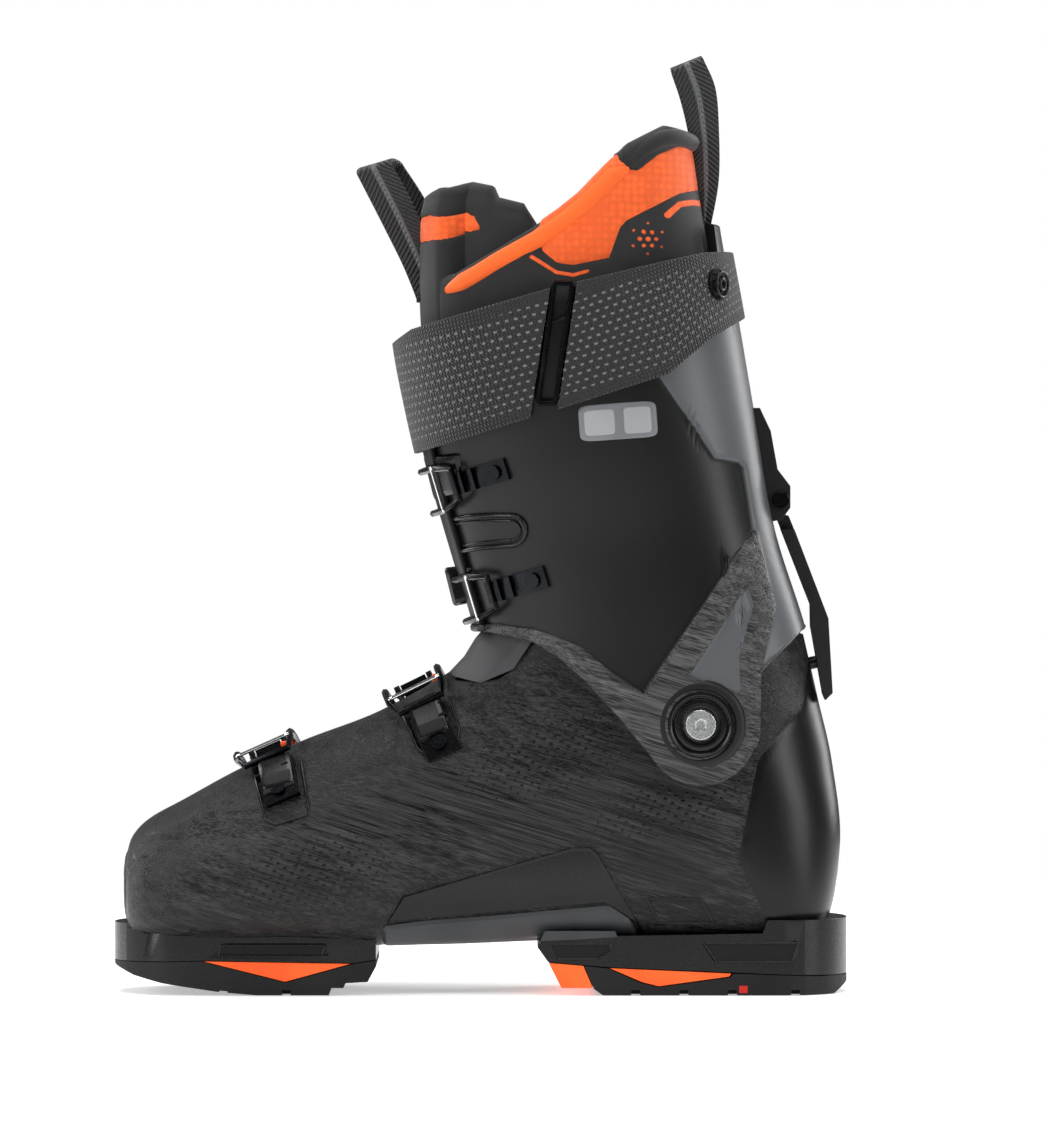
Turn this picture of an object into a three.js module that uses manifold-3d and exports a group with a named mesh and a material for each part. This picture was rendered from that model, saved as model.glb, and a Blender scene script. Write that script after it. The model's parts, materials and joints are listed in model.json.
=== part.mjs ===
// Alpine ski boot, right foot: an overlap shell, a hinged cuff, a padded liner, bolt-on soles and four
// buckles.
// Millimetres, +Z up, toe towards -X, inner (medial) side towards -Y, origin on the ground at mid-sole.
import * as THREE from "three";
import { mergeVertices } from "three/addons/utils/BufferGeometryUtils.js";
import Module from "manifold-3d";

// ---------- overall sizes ----------
const SOLE_LENGTH = 305; // moulded sole length of a 26.5 shell
const SHELL_WIDTH = 107; // across the ball of the foot, outside
const CUFF_HEIGHT = 318; // ground to the top of the cuff's spine

// ---------- walls and clearances ----------
const SHELL_WALL = 4.5;
const CUFF_WALL = 4;
const LINER_WALL = 8;
const TONGUE_WALL = 9;
const FLAP = 3.2; // thickness of an overlapping flap
const GAP = 0.3; // between pieces that rest on each other
const RUN = 0.5; // between pieces that turn against each other
const FLEX = 8; // degrees the cuff leans forward from rest

// ---------- soles ----------
const TOE_WIDTH = 69;
const HEEL_WIDTH = 70;
const SCREW_RADIUS = 3;
const SCREW_HEAD = 4.6;

// ---------- ankle pivot ----------
const PIVOT_BOSS = 17; // radius of the flat round bosses
const PIVOT_HALF = 43; // mid-plane to the outside of the shell's boss
const LOBE = 24; // radius of the cuff's round lobe at the pivot
const DIAL_RADIUS = 13.5;
const DIAL_BODY = 10;
const SCREW_BORE = 5;
const PIVOT_HEAD = 6.2;

// ---------- buckles ----------
const FOOT_BUCKLE = 27; // across the bail's arms
const CUFF_BUCKLE = 21;
const ARM_ROOM = 6; // bail width less lever width
const LEVER_LENGTH = 46;
const LEVER_THICK = 4.6;
const WIRE = 1.5; // radius of the bail's wire
const PIN_RADIUS = 1.6;
const THROW = 13; // lever pin to the bail's pivot
const LADDER_ROOM = 12; // bail width less ladder width
const LADDER_THICK = 2.2;
const TOOTH = 1.9;
const TOOTH_PITCH = 6;
const RIVET_HEAD = 3.2;
const RIVET_SHANK = 1.8;

// ---------- strap, link and loops ----------
const STRAP_THICK = 2.6;
const RING_WIRE = 1.3;
const RING_WIDTH = 11;
const LINK_WIDTH = 16;
const LINK_SLOT = 6.4;
const STUD_RADIUS = 2.7;
const LOOP_WIDTH = 14;
const LOOP_THICK = 2;
const CORD_RADIUS = 1.6; // the moulded loop on the cuff's inner side

const KX = SOLE_LENGTH / 305;
const KY = SHELL_WIDTH / 107;
const KZ = CUFF_HEIGHT / 318;
const PIVOT = { x: 90.5 * KX, z: 112 * KZ };
const FAR = 400;

const wasm = await Module();
wasm.setup();
const vec = (x, y, z) => new THREE.Vector3(x, y, z);

// ---------- solids from three.js geometry ----------
function solid(geometry, tolerance = 1e-4) {
  const bare = geometry.index ? geometry.toNonIndexed() : geometry.clone();
  bare.deleteAttribute("normal");
  bare.deleteAttribute("uv");
  const merged = mergeVertices(bare, tolerance);
  const vertProperties = new Float32Array(merged.attributes.position.array);
  const triVerts = new Uint32Array(merged.index.array);
  const made = new wasm.Manifold(new wasm.Mesh({ numProp: 3, vertProperties, triVerts }));
  if (made.volume() >= 0) return made;
  for (let i = 0; i < triVerts.length; i += 3) [triVerts[i + 1], triVerts[i + 2]] = [triVerts[i + 2],
    triVerts[i + 1]];
  return new wasm.Manifold(new wasm.Mesh({ numProp: 3, vertProperties, triVerts }));
}

function geometryOf(manifold) {
  const mesh = manifold.getMesh();
  const positions = new Float32Array(mesh.numVert * 3);
  for (let i = 0; i < mesh.numVert; i++) {
    positions.set(mesh.vertProperties.subarray(i * mesh.numProp, i * mesh.numProp + 3), i * 3);
  }
  const geometry = new THREE.BufferGeometry();
  geometry.setAttribute("position", new THREE.BufferAttribute(positions, 3));
  geometry.setIndex(new THREE.BufferAttribute(mesh.triVerts, 1));
  return geometry;
}

// The largest body of a solid, simplified a little and without the slivers that its cuts left.
function finished(manifold) {
  const rounded = solid(geometryOf(manifold.simplify(0.06)), 1e-3);
  const bodies = rounded.decompose().sort((a, b) => b.volume() - a.volume());
  const geometry = geometryOf(bodies[0]);
  geometry.computeVertexNormals();
  return geometry;
}

// Rings of equal length joined into one closed skin; an open run of rings gets a fan at each end.
function loft(rings, closed = false) {
  const count = rings[0].length;
  const points = rings.flat();
  const faces = [];
  const last = closed ? rings.length : rings.length - 1;
  for (let i = 0; i < last; i++) {
    const a = i * count;
    const b = ((i + 1) % rings.length) * count;
    for (let j = 0; j < count; j++) {
      const k = (j + 1) % count;
      faces.push([a + j, b + j, b + k], [a + j, b + k, a + k]);
    }
  }
  if (!closed) {
    for (const [start, turn] of [[0, 1], [(rings.length - 1) * count, -1]]) {
      const ring = points.slice(start, start + count);
      const centre = ring.reduce((sum, p) => sum.add(p), vec(0, 0, 0)).divideScalar(count);
      const hub = points.push(centre) - 1;
      for (let j = 0; j < count; j++) {
        const edge = [start + j, start + ((j + 1) % count)];
        faces.push(turn > 0 ? [hub, edge[0], edge[1]] : [hub, edge[1], edge[0]]);
      }
    }
  }
  const positions = new Float32Array(faces.length * 9);
  faces.flat().forEach((index, n) => points[index].toArray(positions, n * 3));
  return solid(new THREE.BufferGeometry().setAttribute("position", new THREE.BufferAttribute(positions, 3)));
}

// A side-view outline of [x, z] points, made as wide as y0 to y1.
function slab(points, y0 = -FAR, y1 = FAR) {
  const shape = new THREE.Shape(points.map(([x, z]) => new THREE.Vector2(x, z)));
  const geometry = new THREE.ExtrudeGeometry(shape, { depth: y1 - y0, bevelEnabled: false });
  return solid(geometry.rotateX(Math.PI / 2).translate(0, y1, 0));
}

// A plan-view shape, made as tall as z0 to z1.
function plate(shape, z0, z1, curveSegments = 10) {
  const geometry = new THREE.ExtrudeGeometry(shape, { depth: z1 - z0, bevelEnabled: false, curveSegments });
  return solid(geometry.translate(0, 0, z0));
}

function block(x0, x1, y0, y1, z0, z1) {
  const geometry = new THREE.BoxGeometry(x1 - x0, y1 - y0, z1 - z0);
  return solid(geometry.translate((x0 + x1) / 2, (y0 + y1) / 2, (z0 + z1) / 2));
}

// A round bar between two points.
function bar(from, to, radius, segments = 16, radiusTo = radius) {
  const along = to.clone().sub(from);
  const geometry = new THREE.CylinderGeometry(radiusTo, radius, along.length(), segments);
  geometry.applyQuaternion(new THREE.Quaternion().setFromUnitVectors(vec(0, 1, 0), along.normalize()));
  const middle = from.clone().add(to).divideScalar(2);
  return solid(geometry.translate(middle.x, middle.y, middle.z));
}

// ---------- the boot's outer forms ----------
// A station is one cross-section: low end (x, z), high end (x, z), medial and lateral half widths,
// sideways shift, the roundness of its low and high halves, and the height share of its widest point.
const FIELDS = ["bx", "bz", "tx", "tz", "medial", "lateral", "shift", "eLow", "eHigh", "mid"];
const station = (...values) => Object.fromEntries(FIELDS.map((name, i) => [name, values[i]]));
const graded = (s) => ({
  ...s,
  bx: s.bx * KX,
  tx: s.tx * KX,
  bz: s.bz * KZ,
  tz: s.tz * KZ,
  medial: s.medial * KY,
  lateral: s.lateral * KY,
  shift: s.shift * KY,
});

// Toe to ankle: low ends follow the sole and the heel, high ends follow the toe box and the instep.
const FOOT = [
  station(-147, 30, -147, 58, 15, 15, -3, 2.6, 2.4, 0.45),
  station(-145, 25, -144.5, 65, 26, 26, -3, 3, 2.4, 0.42),
  station(-138, 23.5, -137.5, 72, 35, 36, -3, 3.6, 2.4, 0.4),
  station(-125, 23, -123, 80, 42.5, 44, -2.5, 4, 2.3, 0.38),
  station(-102, 22.5, -100, 92.5, 48, 50, -1.5, 4, 2.2, 0.36),
  station(-75, 22.5, -73, 104.5, 51, 54, 0, 3.8, 2.1, 0.34),
  station(-46, 19.5, -43, 116, 49, 55, 1, 3.4, 2.1, 0.34),
  station(-14, 19.5, -14, 132, 44.5, 50, 1.5, 3.4, 2.1, 0.36),
  station(24, 21, -7, 139.5, 42, 44.5, 1, 3.8, 2.1, 0.42),
  station(68, 22.5, -2.5, 147, 41.5, 42, 0.5, 4.2, 2.1, 0.46),
  station(112, 22.5, 3.5, 154, 41.5, 41.5, 0, 4.2, 2.1, 0.5),
  station(141, 25, 7, 161, 41.5, 41.5, 0, 3.4, 2.1, 0.52),
  station(149.6, 60, 9, 169, 41.5, 41.5, 0, 2.5, 2.1, 0.5),
  station(146.4, 95, 9.5, 177, 41.5, 41.5, 0, 2.1, 2.1, 0.5),
  station(140.4, 122, 9.5, 186, 41.5, 41.5, 0, 2, 2.1, 0.5),
  station(133.5, 152, 9, 196, 41.5, 41.5, 0, 2, 2.1, 0.5),
].map(graded);

// Bottom to top: low ends run up the back of the leg, high ends up the shin.
const LEG = [
  station(141, 78, 26, 78, 47.5, 47.5, 0, 2.8, 2.2, 0.5),
  station(141, 112, 8, 112, 47.5, 47.5, 0, 2.8, 2.2, 0.5),
  station(135, 148, 0, 151, 47.8, 47.8, 0, 2.8, 2.2, 0.5),
  station(121.5, 192, -9, 181, 49.5, 50, 0, 2.6, 2.2, 0.5),
  station(113.5, 238, -18.5, 214, 54, 55, 0, 2.4, 2.2, 0.5),
  station(106, 282, -25.5, 244, 57.5, 58.5, 0, 2.3, 2.2, 0.5),
  station(99.5, 318, -30.5, 271, 58.5, 59.5, 0, 2.3, 2.2, 0.5),
  station(95.5, 350, -32.5, 300, 58.5, 59.5, 0, 2.3, 2.2, 0.5),
  station(93, 372, -33, 328, 58, 59, 0, 2.3, 2.2, 0.5),
].map(graded);

// The station at a fractional place in a list, along smooth curves through the listed ones.
function stationAt(list, place) {
  const i = Math.min(Math.floor(place), list.length - 2);
  const t = place - i;
  const at = (k) => list[Math.min(Math.max(k, 0), list.length - 1)];
  const mix = (name) => {
    const [a, b, c, d] = [at(i - 1)[name], at(i)[name], at(i + 1)[name], at(i + 2)[name]];
    return b + 0.5 * t * (c - a + t * (2 * a - 5 * b + 4 * c - d + t * (3 * (b - c) + d - a)));
  };
  return Object.fromEntries(FIELDS.map((name) => [name, mix(name)]));
}

// A station drawn in by a distance on every side; a negative distance swells it.
function drawnIn(s, by, nose = null) {
  const length = Math.hypot(s.tx - s.bx, s.tz - s.bz);
  const dx = (by * (s.tx - s.bx)) / length;
  const dz = (by * (s.tz - s.bz)) / length;
  const made = { ...s, bx: s.bx + dx, bz: s.bz + dz, tx: s.tx - dx, tz: s.tz - dz };
  made.medial = s.medial - by;
  made.lateral = s.lateral - by;
  if (nose !== null) {
    const reach = 60;
    const push = (x) => by * Math.max(0, 1 - (x - nose) / reach);
    made.bx += push(s.bx);
    made.tx += push(s.tx);
  }
  return made;
}

// The point of a station at an angle: 0 on the lateral side, a quarter turn at its high end.
function sectionPoint(s, angle) {
  const out = Math.cos(angle);
  const up = Math.sin(angle);
  const power = 2 / (up >= 0 ? s.eHigh : s.eLow);
  const rise = Math.sign(up) * Math.abs(up) ** power;
  const share = s.mid + rise * (up >= 0 ? 1 - s.mid : s.mid);
  const side = Math.sign(out) * Math.abs(out) ** power;
  return vec(
    s.bx + (s.tx - s.bx) * share,
    s.shift + side * (out >= 0 ? s.lateral : s.medial),
    s.bz + (s.tz - s.bz) * share,
  );
}

const SECTION_POINTS = 20;
const circle = (count) => Array.from({ length: count }, (_, i) => (2 * Math.PI * i) / count);

// The closed form through a list of stations from one place to another, drawn in by a distance.
function form(list, by, { from = 0, to = list.length - 1, steps = 1, points = SECTION_POINTS } = {}) {
  const nose = list === FOOT ? FOOT[0].bx : null;
  const count = Math.round((to - from) * steps);
  const rings = Array.from({ length: count + 1 }, (_, i) => {
    const s = drawnIn(stationAt(list, from + ((to - from) * i) / count), by, nose);
    return circle(points).map((angle) => sectionPoint(s, angle));
  });
  return loft(rings);
}
const foot = (by, options) => form(FOOT, by, options);
const leg = (by, options) => form(LEG, by, options);
const LEG_FINE = { to: 8 };

// Where the leg's front and back lie, as a share of its height list.
const scaleXZ = (points) => points.map(([x, z]) => [x * KX, z * KZ]);

// ---------- lower shell ----------
const THROAT = scaleXZ([[-14, 170], [-14, 131], [0, 128], [14, 134], [22, 146], [26, 170]]);
const SHELL_TOP = scaleXZ([
  [-200, 10], [-200, 220], [-20, 220], [-20, 145], [8, 150], [40, 158], [90, 165], [110, 161], [122, 154],
  [133, 148.5], [200, 148.5], [200, 10],
]);
const FLAP_FRONT = -112 * KX;
const FLAP_BACK = -17 * KX;
const FLAP_FREE = -14; // the flap's free edge, on the medial side
const FLAP_ROOT = 16; // where it grows out of the lateral half
const SLOT_HALF = 6;

function lowerShell() {
  const outside = foot(0);
  const hollow = foot(SHELL_WALL, { from: 0 });
  let made = outside.subtract(hollow).intersect(slab(SHELL_TOP));
  made = made.subtract(slab(THROAT, -30 * KY, 30 * KY));
  const wide = (z0) => [[FLAP_FRONT, z0], [FLAP_BACK, z0], [FLAP_BACK, 200], [FLAP_FRONT, 200]];
  made = made.subtract(slab([[FLAP_FRONT + 8, 70], [FAR, 70], [FAR, 200], [FLAP_FRONT + 8, 200]], -SLOT_HALF,
    SLOT_HALF).intersect(
    slab(wide(70)),
  ));
  const flap = foot(-FLAP).subtract(foot(-GAP)).intersect(slab(wide(70), FLAP_FREE, FLAP_ROOT));
  const root = foot(-FLAP).subtract(foot(1)).intersect(slab(wide(70), SLOT_HALF + 1, FLAP_ROOT));
  const boss = (side) =>
    bar(vec(PIVOT.x, side * (PIVOT_HALF - 6), PIVOT.z), vec(PIVOT.x, side * PIVOT_HALF, PIVOT.z), PIVOT_BOSS,
      32);
  made = made.add(flap).add(root).add(boss(1)).add(boss(-1));
  const bore = bar(vec(PIVOT.x, -80, PIVOT.z), vec(PIVOT.x, 80, PIVOT.z), SCREW_BORE, 20);
  made = made.subtract(bore);
  for (const hole of SOLE_SCREWS) made = made.subtract(bar(hole.at(10), hole.at(60), SCREW_RADIUS + GAP));
  for (const b of BUCKLES.filter((item) => item.on === FOOT)) made = made.subtract(rivetHole(b));
  return made.subtract(cuffSweep()).subtract(linkStudHole());
}

// The room the cuff's wall passes through as it flexes forward, with a running clearance.
const turned = (made, degrees) =>
  made
    .translate([-PIVOT.x, 0, -PIVOT.z])
    .rotate([0, -degrees, 0])
    .translate([PIVOT.x, 0, PIVOT.z]);
const cuffRoom = () => {
  const coarse = { to: 4, points: 20 };
  return leg(-8, coarse).subtract(leg(CUFF_WALL + RUN + 1.1, coarse)).intersect(slab(sideOfCuff(RUN)));
};
function cuffSweep() {
  const room = cuffRoom();
  const sweep = [0, FLEX / 2, FLEX].map((degrees) => turned(room, degrees)).reduce((a, b) => a.add(b));
  const lobes = bar(vec(PIVOT.x, -PIVOT_HALF, PIVOT.z), vec(PIVOT.x, PIVOT_HALF, PIVOT.z), PIVOT_BOSS + 1,
    24);
  return sweep.subtract(lobes);
}

// The soft flap that closes the throat under the cuff.
function instepFlap() {
  const skin = foot(0.4).subtract(foot(3.2));
  const inner = scaleXZ([[-13.4, 168], [-13.4, 131.6], [0, 128.6], [13.7, 134.4], [21.5, 146.2], [25.4,
    168]]);
  return skin.intersect(slab(inner, -29.4 * KY, 29.4 * KY)).intersect(slab(scaleXZ([[-40, 100], [60, 100],
    [60, 158], [-40, 158]]))).subtract(cuffRoom());
}

// ---------- inside the shell ----------
const BOARD_TOP = scaleXZ([[-160, 0], [160, 0], [160, 42], [40, 38], [-60, 34.5], [-160, 34.5]]);
const LINER_SPLIT = scaleXZ([[-160, 0], [-160, 143], [8, 143], [40, 151], [90, 158.5], [110, 156], [160,
  140], [160, 0]]);
const LINER_FLOOR = 5;
const FOOTBED = 4;
const raised = (points, by) => points.map(([x, z]) => [x, z + by]);
const above = (points, by) => {
  const top = points.slice(2).map(([x, z]) => [x, z + by]);
  return slab([...top, [-FAR, FAR], [FAR, FAR]]);
};

function bootBoard() {
  return foot(SHELL_WALL + GAP).intersect(slab(BOARD_TOP));
}

const SHELL_INSIDE = SHELL_WALL + GAP + 0.3;

function linerFoot() {
  const body = foot(SHELL_INSIDE).subtract(foot(SHELL_INSIDE + LINER_WALL).intersect(above(BOARD_TOP,
    GAP + LINER_FLOOR)));
  return body
    .intersect(above(BOARD_TOP, GAP))
    .intersect(slab(LINER_SPLIT))
    .subtract(cuffSweep())
    .subtract(slab([[-52 * KX, 90], [40 * KX, 90], [40 * KX, 200], [-52 * KX, 200]], -TONGUE_HALF,
      TONGUE_HALF));
}

function footbed() {
  const inside = foot(SHELL_INSIDE + LINER_WALL + 0.5);
  const floor = GAP + LINER_FLOOR + GAP;
  return inside.intersect(above(BOARD_TOP, floor)).subtract(above(BOARD_TOP, floor + FOOTBED));
}

const TONGUE_HALF = 24;
function tongueLower() {
  const skin = foot(SHELL_INSIDE).subtract(foot(SHELL_INSIDE + TONGUE_WALL));
  const span = [[-50 * KX, 90], [40 * KX, 90], [40 * KX, 200], [-50 * KX, 200]];
  return skin.intersect(slab(span, -TONGUE_HALF + GAP,
    TONGUE_HALF - GAP)).intersect(slab(LINER_SPLIT)).subtract(cuffSweep());
}

// ---------- liner above the ankle, moving with the cuff ----------
const LINER_TOP = scaleXZ([
  [-60, 169], [-60, 286], [-12, 293], [21, 312], [28, 317], [41, 327], [51, 337], [63, 348], [79, 356.5],
    [92, 355], [160, 355],
  [160, 169],
]);
const TONGUE_TOP = scaleXZ([
  [-60, 171], [-60, 322], [-30, 324], [-19, 328.5], [-3, 327], [0, 321.5], [14, 321], [22, 312], [36, 290],
    [36, 171],
]);
const LINER_DROP = 1; // how far the liner's back leans in towards its top

function linerForm(by) {
  const lean = LEG.map((s, i) => (i < 5 ? s : { ...s, bx: s.bx - (i - 4) * LINER_DROP,
    tx: s.tx + (i - 4) * 1.2 }));
  return form(lean, by, { from: 2 });
}

function linerShaft() {
  const skin = linerForm(CUFF_WALL + GAP + 0.3).subtract(linerForm(CUFF_WALL + GAP + 0.3 + LINER_WALL));
  const front = slab([[-FAR, 0], [22 * KX, 0], [22 * KX, FAR], [-FAR, FAR]], -SHAFT_TONGUE, SHAFT_TONGUE);
  return skin.intersect(slab(LINER_TOP)).subtract(front);
}

const SHAFT_TONGUE = 30;
function tongueUpper() {
  const skin = linerForm(CUFF_WALL + GAP + 0.3).subtract(linerForm(CUFF_WALL + GAP + 0.3 + TONGUE_WALL));
  const front = slab([[-FAR, 0], [21 * KX, 0], [21 * KX, FAR], [-FAR, FAR]], -SHAFT_TONGUE + GAP,
    SHAFT_TONGUE - GAP);
  return skin.intersect(slab(TONGUE_TOP)).intersect(front);
}

// ---------- cuff ----------
const sideOfCuff = (room = 0) => [
  ...scaleXZ([[-60, 150.5 - room], [24, 150 - room], [41 - room, 144.5 - room], [57 - room, 132 - room]]),
  ...arc(PIVOT, LOBE + room, 165, 345, 10),
  ...scaleXZ([
    [115 + room, 112], [115 + room, 134 - room], [133, 150.5 - room], [160, 150.5 - room], [160, 318], [88,
      318],
    [84, 300], [20, 272], [-60, 251],
  ]),
];
const CUFF_FREE = -20;
const CUFF_ROOT = 20;
const SPINE_HALF = 22;

// Points round a centre in the side view, from one angle to another in degrees.
function arc(centre, radius, from, to, steps) {
  return Array.from({ length: steps + 1 }, (_, i) => {
    const angle = THREE.MathUtils.degToRad(from + ((to - from) * i) / steps);
    return [centre.x + radius * Math.cos(angle), centre.z + radius * Math.sin(angle)];
  });
}

function cuff() {
  let wall = leg(0, LEG_FINE).subtract(leg(CUFF_WALL, LEG_FINE));
  const front = (y0, y1) => slab([[-FAR, 0], [40 * KX, 0], [40 * KX, FAR], [-FAR, FAR]], y0, y1);
  wall = wall.subtract(front(-10, 13));
  const flap = leg(-FLAP, LEG_FINE).subtract(leg(-GAP, LEG_FINE)).intersect(front(CUFF_FREE, CUFF_ROOT));
  const root = leg(-FLAP, LEG_FINE).subtract(leg(CUFF_WALL, LEG_FINE)).intersect(front(14, CUFF_ROOT));
  const span = (side, y0, y1, radius) =>
    bar(vec(PIVOT.x, side * y0, PIVOT.z), vec(PIVOT.x, side * y1, PIVOT.z), radius, 32);
  let made = wall.add(flap).add(root);
  const face = PIVOT_HALF + RUN;
  for (const side of [1, -1]) {
    made = made.add(span(side, face, face + CUFF_WALL + 1, PIVOT_BOSS + 2));
    made = made.subtract(span(side, 20, face, PIVOT_BOSS + 1.5));
    made = made.subtract(span(side, face - 1, face + 12, DIAL_BODY + GAP));
  }
  made = made.intersect(slab(sideOfCuff()));
  const spineCut = scaleXZ([[60, 296], [160, 300], [160, 330], [60, 330]]);
  made = made.subtract(slab(spineCut, -FAR, -SPINE_HALF)).subtract(slab(spineCut, SPINE_HALF, FAR));
  for (const b of BUCKLES.filter((item) => item.on === LEG)) made = made.subtract(rivetHole(b));
  for (const side of [1, -1]) made = made.subtract(strapRivet(side, true));
  return made;
}

// ---------- pivot hardware ----------
function dial(side) {
  const face = PIVOT_HALF + RUN;
  const top = face + CUFF_WALL + 1;
  const profile = [
    [SCREW_BORE + GAP, RUN],
    [DIAL_BODY, RUN],
    [DIAL_BODY, top - face + GAP],
    [DIAL_RADIUS, top - face + GAP],
    [DIAL_RADIUS - 0.6, top - face + 1.9],
    [PIVOT_HEAD + 1.2, top - face + 1.9],
    [PIVOT_HEAD + 0.6, top - face],
    [SCREW_BORE + GAP, top - face],
    [SCREW_BORE + GAP, RUN],
  ].map(([r, h]) => new THREE.Vector2(r, h));
  const made = new THREE.LatheGeometry(profile, 20);
  if (side < 0) made.rotateX(Math.PI);
  let body = solid(made.translate(PIVOT.x, side * face, PIVOT.z));
  if (side < 0) {
    const notch = (a) => {
      const r = DIAL_RADIUS - 3;
      const at = vec(PIVOT.x + r * Math.cos(a), side * (top + 1.1), PIVOT.z + r * Math.sin(a));
      return bar(at, at.clone().add(vec(0, side * 3, 0)), 1.1, 8);
    };
    for (const a of [0.8, 1.2, 1.6]) body = body.subtract(notch(a));
  }
  return body;
}

function pivotScrew(side) {
  const top = PIVOT_HALF + RUN + CUFF_WALL + 1 + GAP;
  const at = (y) => vec(PIVOT.x, side * y, PIVOT.z);
  const shank = bar(at(PIVOT_HALF - SHELL_WALL - 0.5), at(top + 1), SCREW_BORE - 0.2, 20);
  const head = bar(at(top), at(top + 2.2), PIVOT_HEAD, 24);
  const socket = bar(at(top + 0.7), at(top + 4), 2.4, 6);
  return shank.add(head).subtract(socket);
}

// ---------- soles ----------
function solePlan(x0, x1, width, noseReach, noseAt) {
  const shape = new THREE.Shape();
  const half = width / 2;
  const flat = noseAt === "front" ? x1 : x0;
  const round = noseAt === "front" ? x0 + noseReach : x1 - noseReach;
  shape.moveTo(flat, noseAt === "front" ? half : -half);
  shape.lineTo(round, noseAt === "front" ? half : -half);
  if (noseAt === "front") shape.absellipse(round, 0, noseReach, half, Math.PI / 2, 1.5 * Math.PI, false);
  else shape.absellipse(round, 0, noseReach, half, -Math.PI / 2, Math.PI / 2, false);
  shape.lineTo(flat, noseAt === "front" ? -half : half);
  return plate(shape, -5, 60);
}
const TOE_END = -SOLE_LENGTH / 2;
const HEEL_END = SOLE_LENGTH / 2;
const toePlan = () => solePlan(TOE_END, -43 * KX, TOE_WIDTH, 31, "front");
const heelPlan = () => solePlan(22 * KX, HEEL_END, HEEL_WIDTH, 27, "back");
const WELT_TOP = 29;
const HEEL_TOP = 31;
const REST = 22.5; // the shell's underside at the soles

// Side-view outlines from the ends of the sole inwards.
const toe = (points) => points.map(([x, z]) => [TOE_END + x * KX, z]);
const heel = (points) => points.map(([x, z]) => [HEEL_END - x * KX, z]);

const toeSole = () =>
  toePlan()
    .intersect(slab(toe([[-1, 13.3], [37.3, 14.3], [100.5, 13.3], [111, 15], [111, REST + 2.5], [22,
      REST + 4], [21, WELT_TOP], [-1, WELT_TOP]])))
    .subtract(foot(-GAP))
    .subtract(slab(toe([[45, 16.5], [48, 21.4], [88, 21.4], [90, 16.5]]), -60, -TOE_WIDTH / 2 + 2))
    .subtract(slab(toe([[45, 16.5], [48, 21.4], [88, 21.4], [90, 16.5]]), TOE_WIDTH / 2 - 2, 60));
const toeInsert = () => toePlan().intersect(slab(toe([[38.5, 14], [72, 5.6], [99, 13], [60, 13.6]])));
const toeTread = () =>
  toePlan()
    .intersect(
      slab(
        toe([
          [-1, 13], [37.3, 14], [72, 5.2], [100.5, 13], [111, 14.5], [106, 5.5], [97, 5], [96, 3], [91, 3],
            [90, 0],
          [60, 0], [44, 1.4], [21, 4.9], [9, 7.8], [-1, 12],
        ]),
      ),
    )
    .subtract(treadGrooves([-122, -106, -80].map((x) => x * KX), TOE_WIDTH));

const heelSole = () =>
  heelPlan()
    .intersect(
      slab(heel([[-1, 7.6], [48, 9.3], [99.5, 11.6], [124.6, 13.8], [129, 20], [126, REST + 1.5], [36,
        REST + 3], [34, HEEL_TOP], [-1, HEEL_TOP]])),
    )
    .subtract(foot(-GAP))
    .subtract(slab(heel([[22, 21.5], [24, 14], [56, 14], [61, 21.5]]), -60, -HEEL_WIDTH / 2 + 2))
    .subtract(slab(heel([[22, 21.5], [24, 14], [56, 14], [61, 21.5]]), HEEL_WIDTH / 2 - 2, 60));
const heelInsert = () => heelPlan().intersect(slab(heel([[49, 9], [99, 11.2], [86, 5.6], [79, 3.8], [50,
  7.8]])));
const heelPad = () => heelPlan().intersect(slab(heel([[110, 12.2], [124.3, 13.4], [119, 3], [106, 3]])));
const heelTread = () =>
  heelPlan()
    .intersect(
      slab(heel([[-1, 7.3], [48, 9], [49.5, 7.4], [79, 3.4], [86.5, 5.2], [99.6, 11.1], [109.6, 12.2],
        [105.6, 2.6], [102, 0], [6, 0], [-1, 5]])),
    )
    .subtract(treadGrooves([64, 84, 104, 130].map((x) => x * KX), HEEL_WIDTH));

// Short blind grooves across both edges of a rubber tread.
function treadGrooves(places, width) {
  const cuts = places.flatMap((x) =>
    [-1, 1].map((side) => block(x - 1.8, x + 1.8, side > 0 ? width / 2 - 9 : -width / 2 - 9,
      side > 0 ? width / 2 + 9 : 9 - width / 2, -1, 2.2)),
  );
  return cuts.reduce((a, b) => a.add(b));
}

const SOLE_SCREWS = [
  ["toe_screw_medial", -98, -20, 7],
  ["toe_screw_lateral", -98, 20, 7],
  ["heel_screw_medial", 96, -19, 5],
  ["heel_screw_lateral", 96, 19, 5],
].map(([name, x, y, seat]) => ({ name, seat, at: (z) => vec(x * KX, y, z) }));

function soleScrew({ at, seat }) {
  const shank = bar(at(seat + 1), at(REST + 4), SCREW_RADIUS - 0.2, 10);
  const head = bar(at(seat), at(seat + 3), SCREW_HEAD - GAP, 14);
  return shank.add(head).subtract(bar(at(seat - 1), at(seat + 1.6), 2, 6));
}
const withScrewHoles = (made) =>
  SOLE_SCREWS.reduce(
    (left, { at, seat }) => left.subtract(bar(at(seat - 20), at(seat + 3 + GAP), SCREW_HEAD,
      14)).subtract(bar(at(seat), at(70), SCREW_RADIUS, 10)),
    made,
  );

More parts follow.
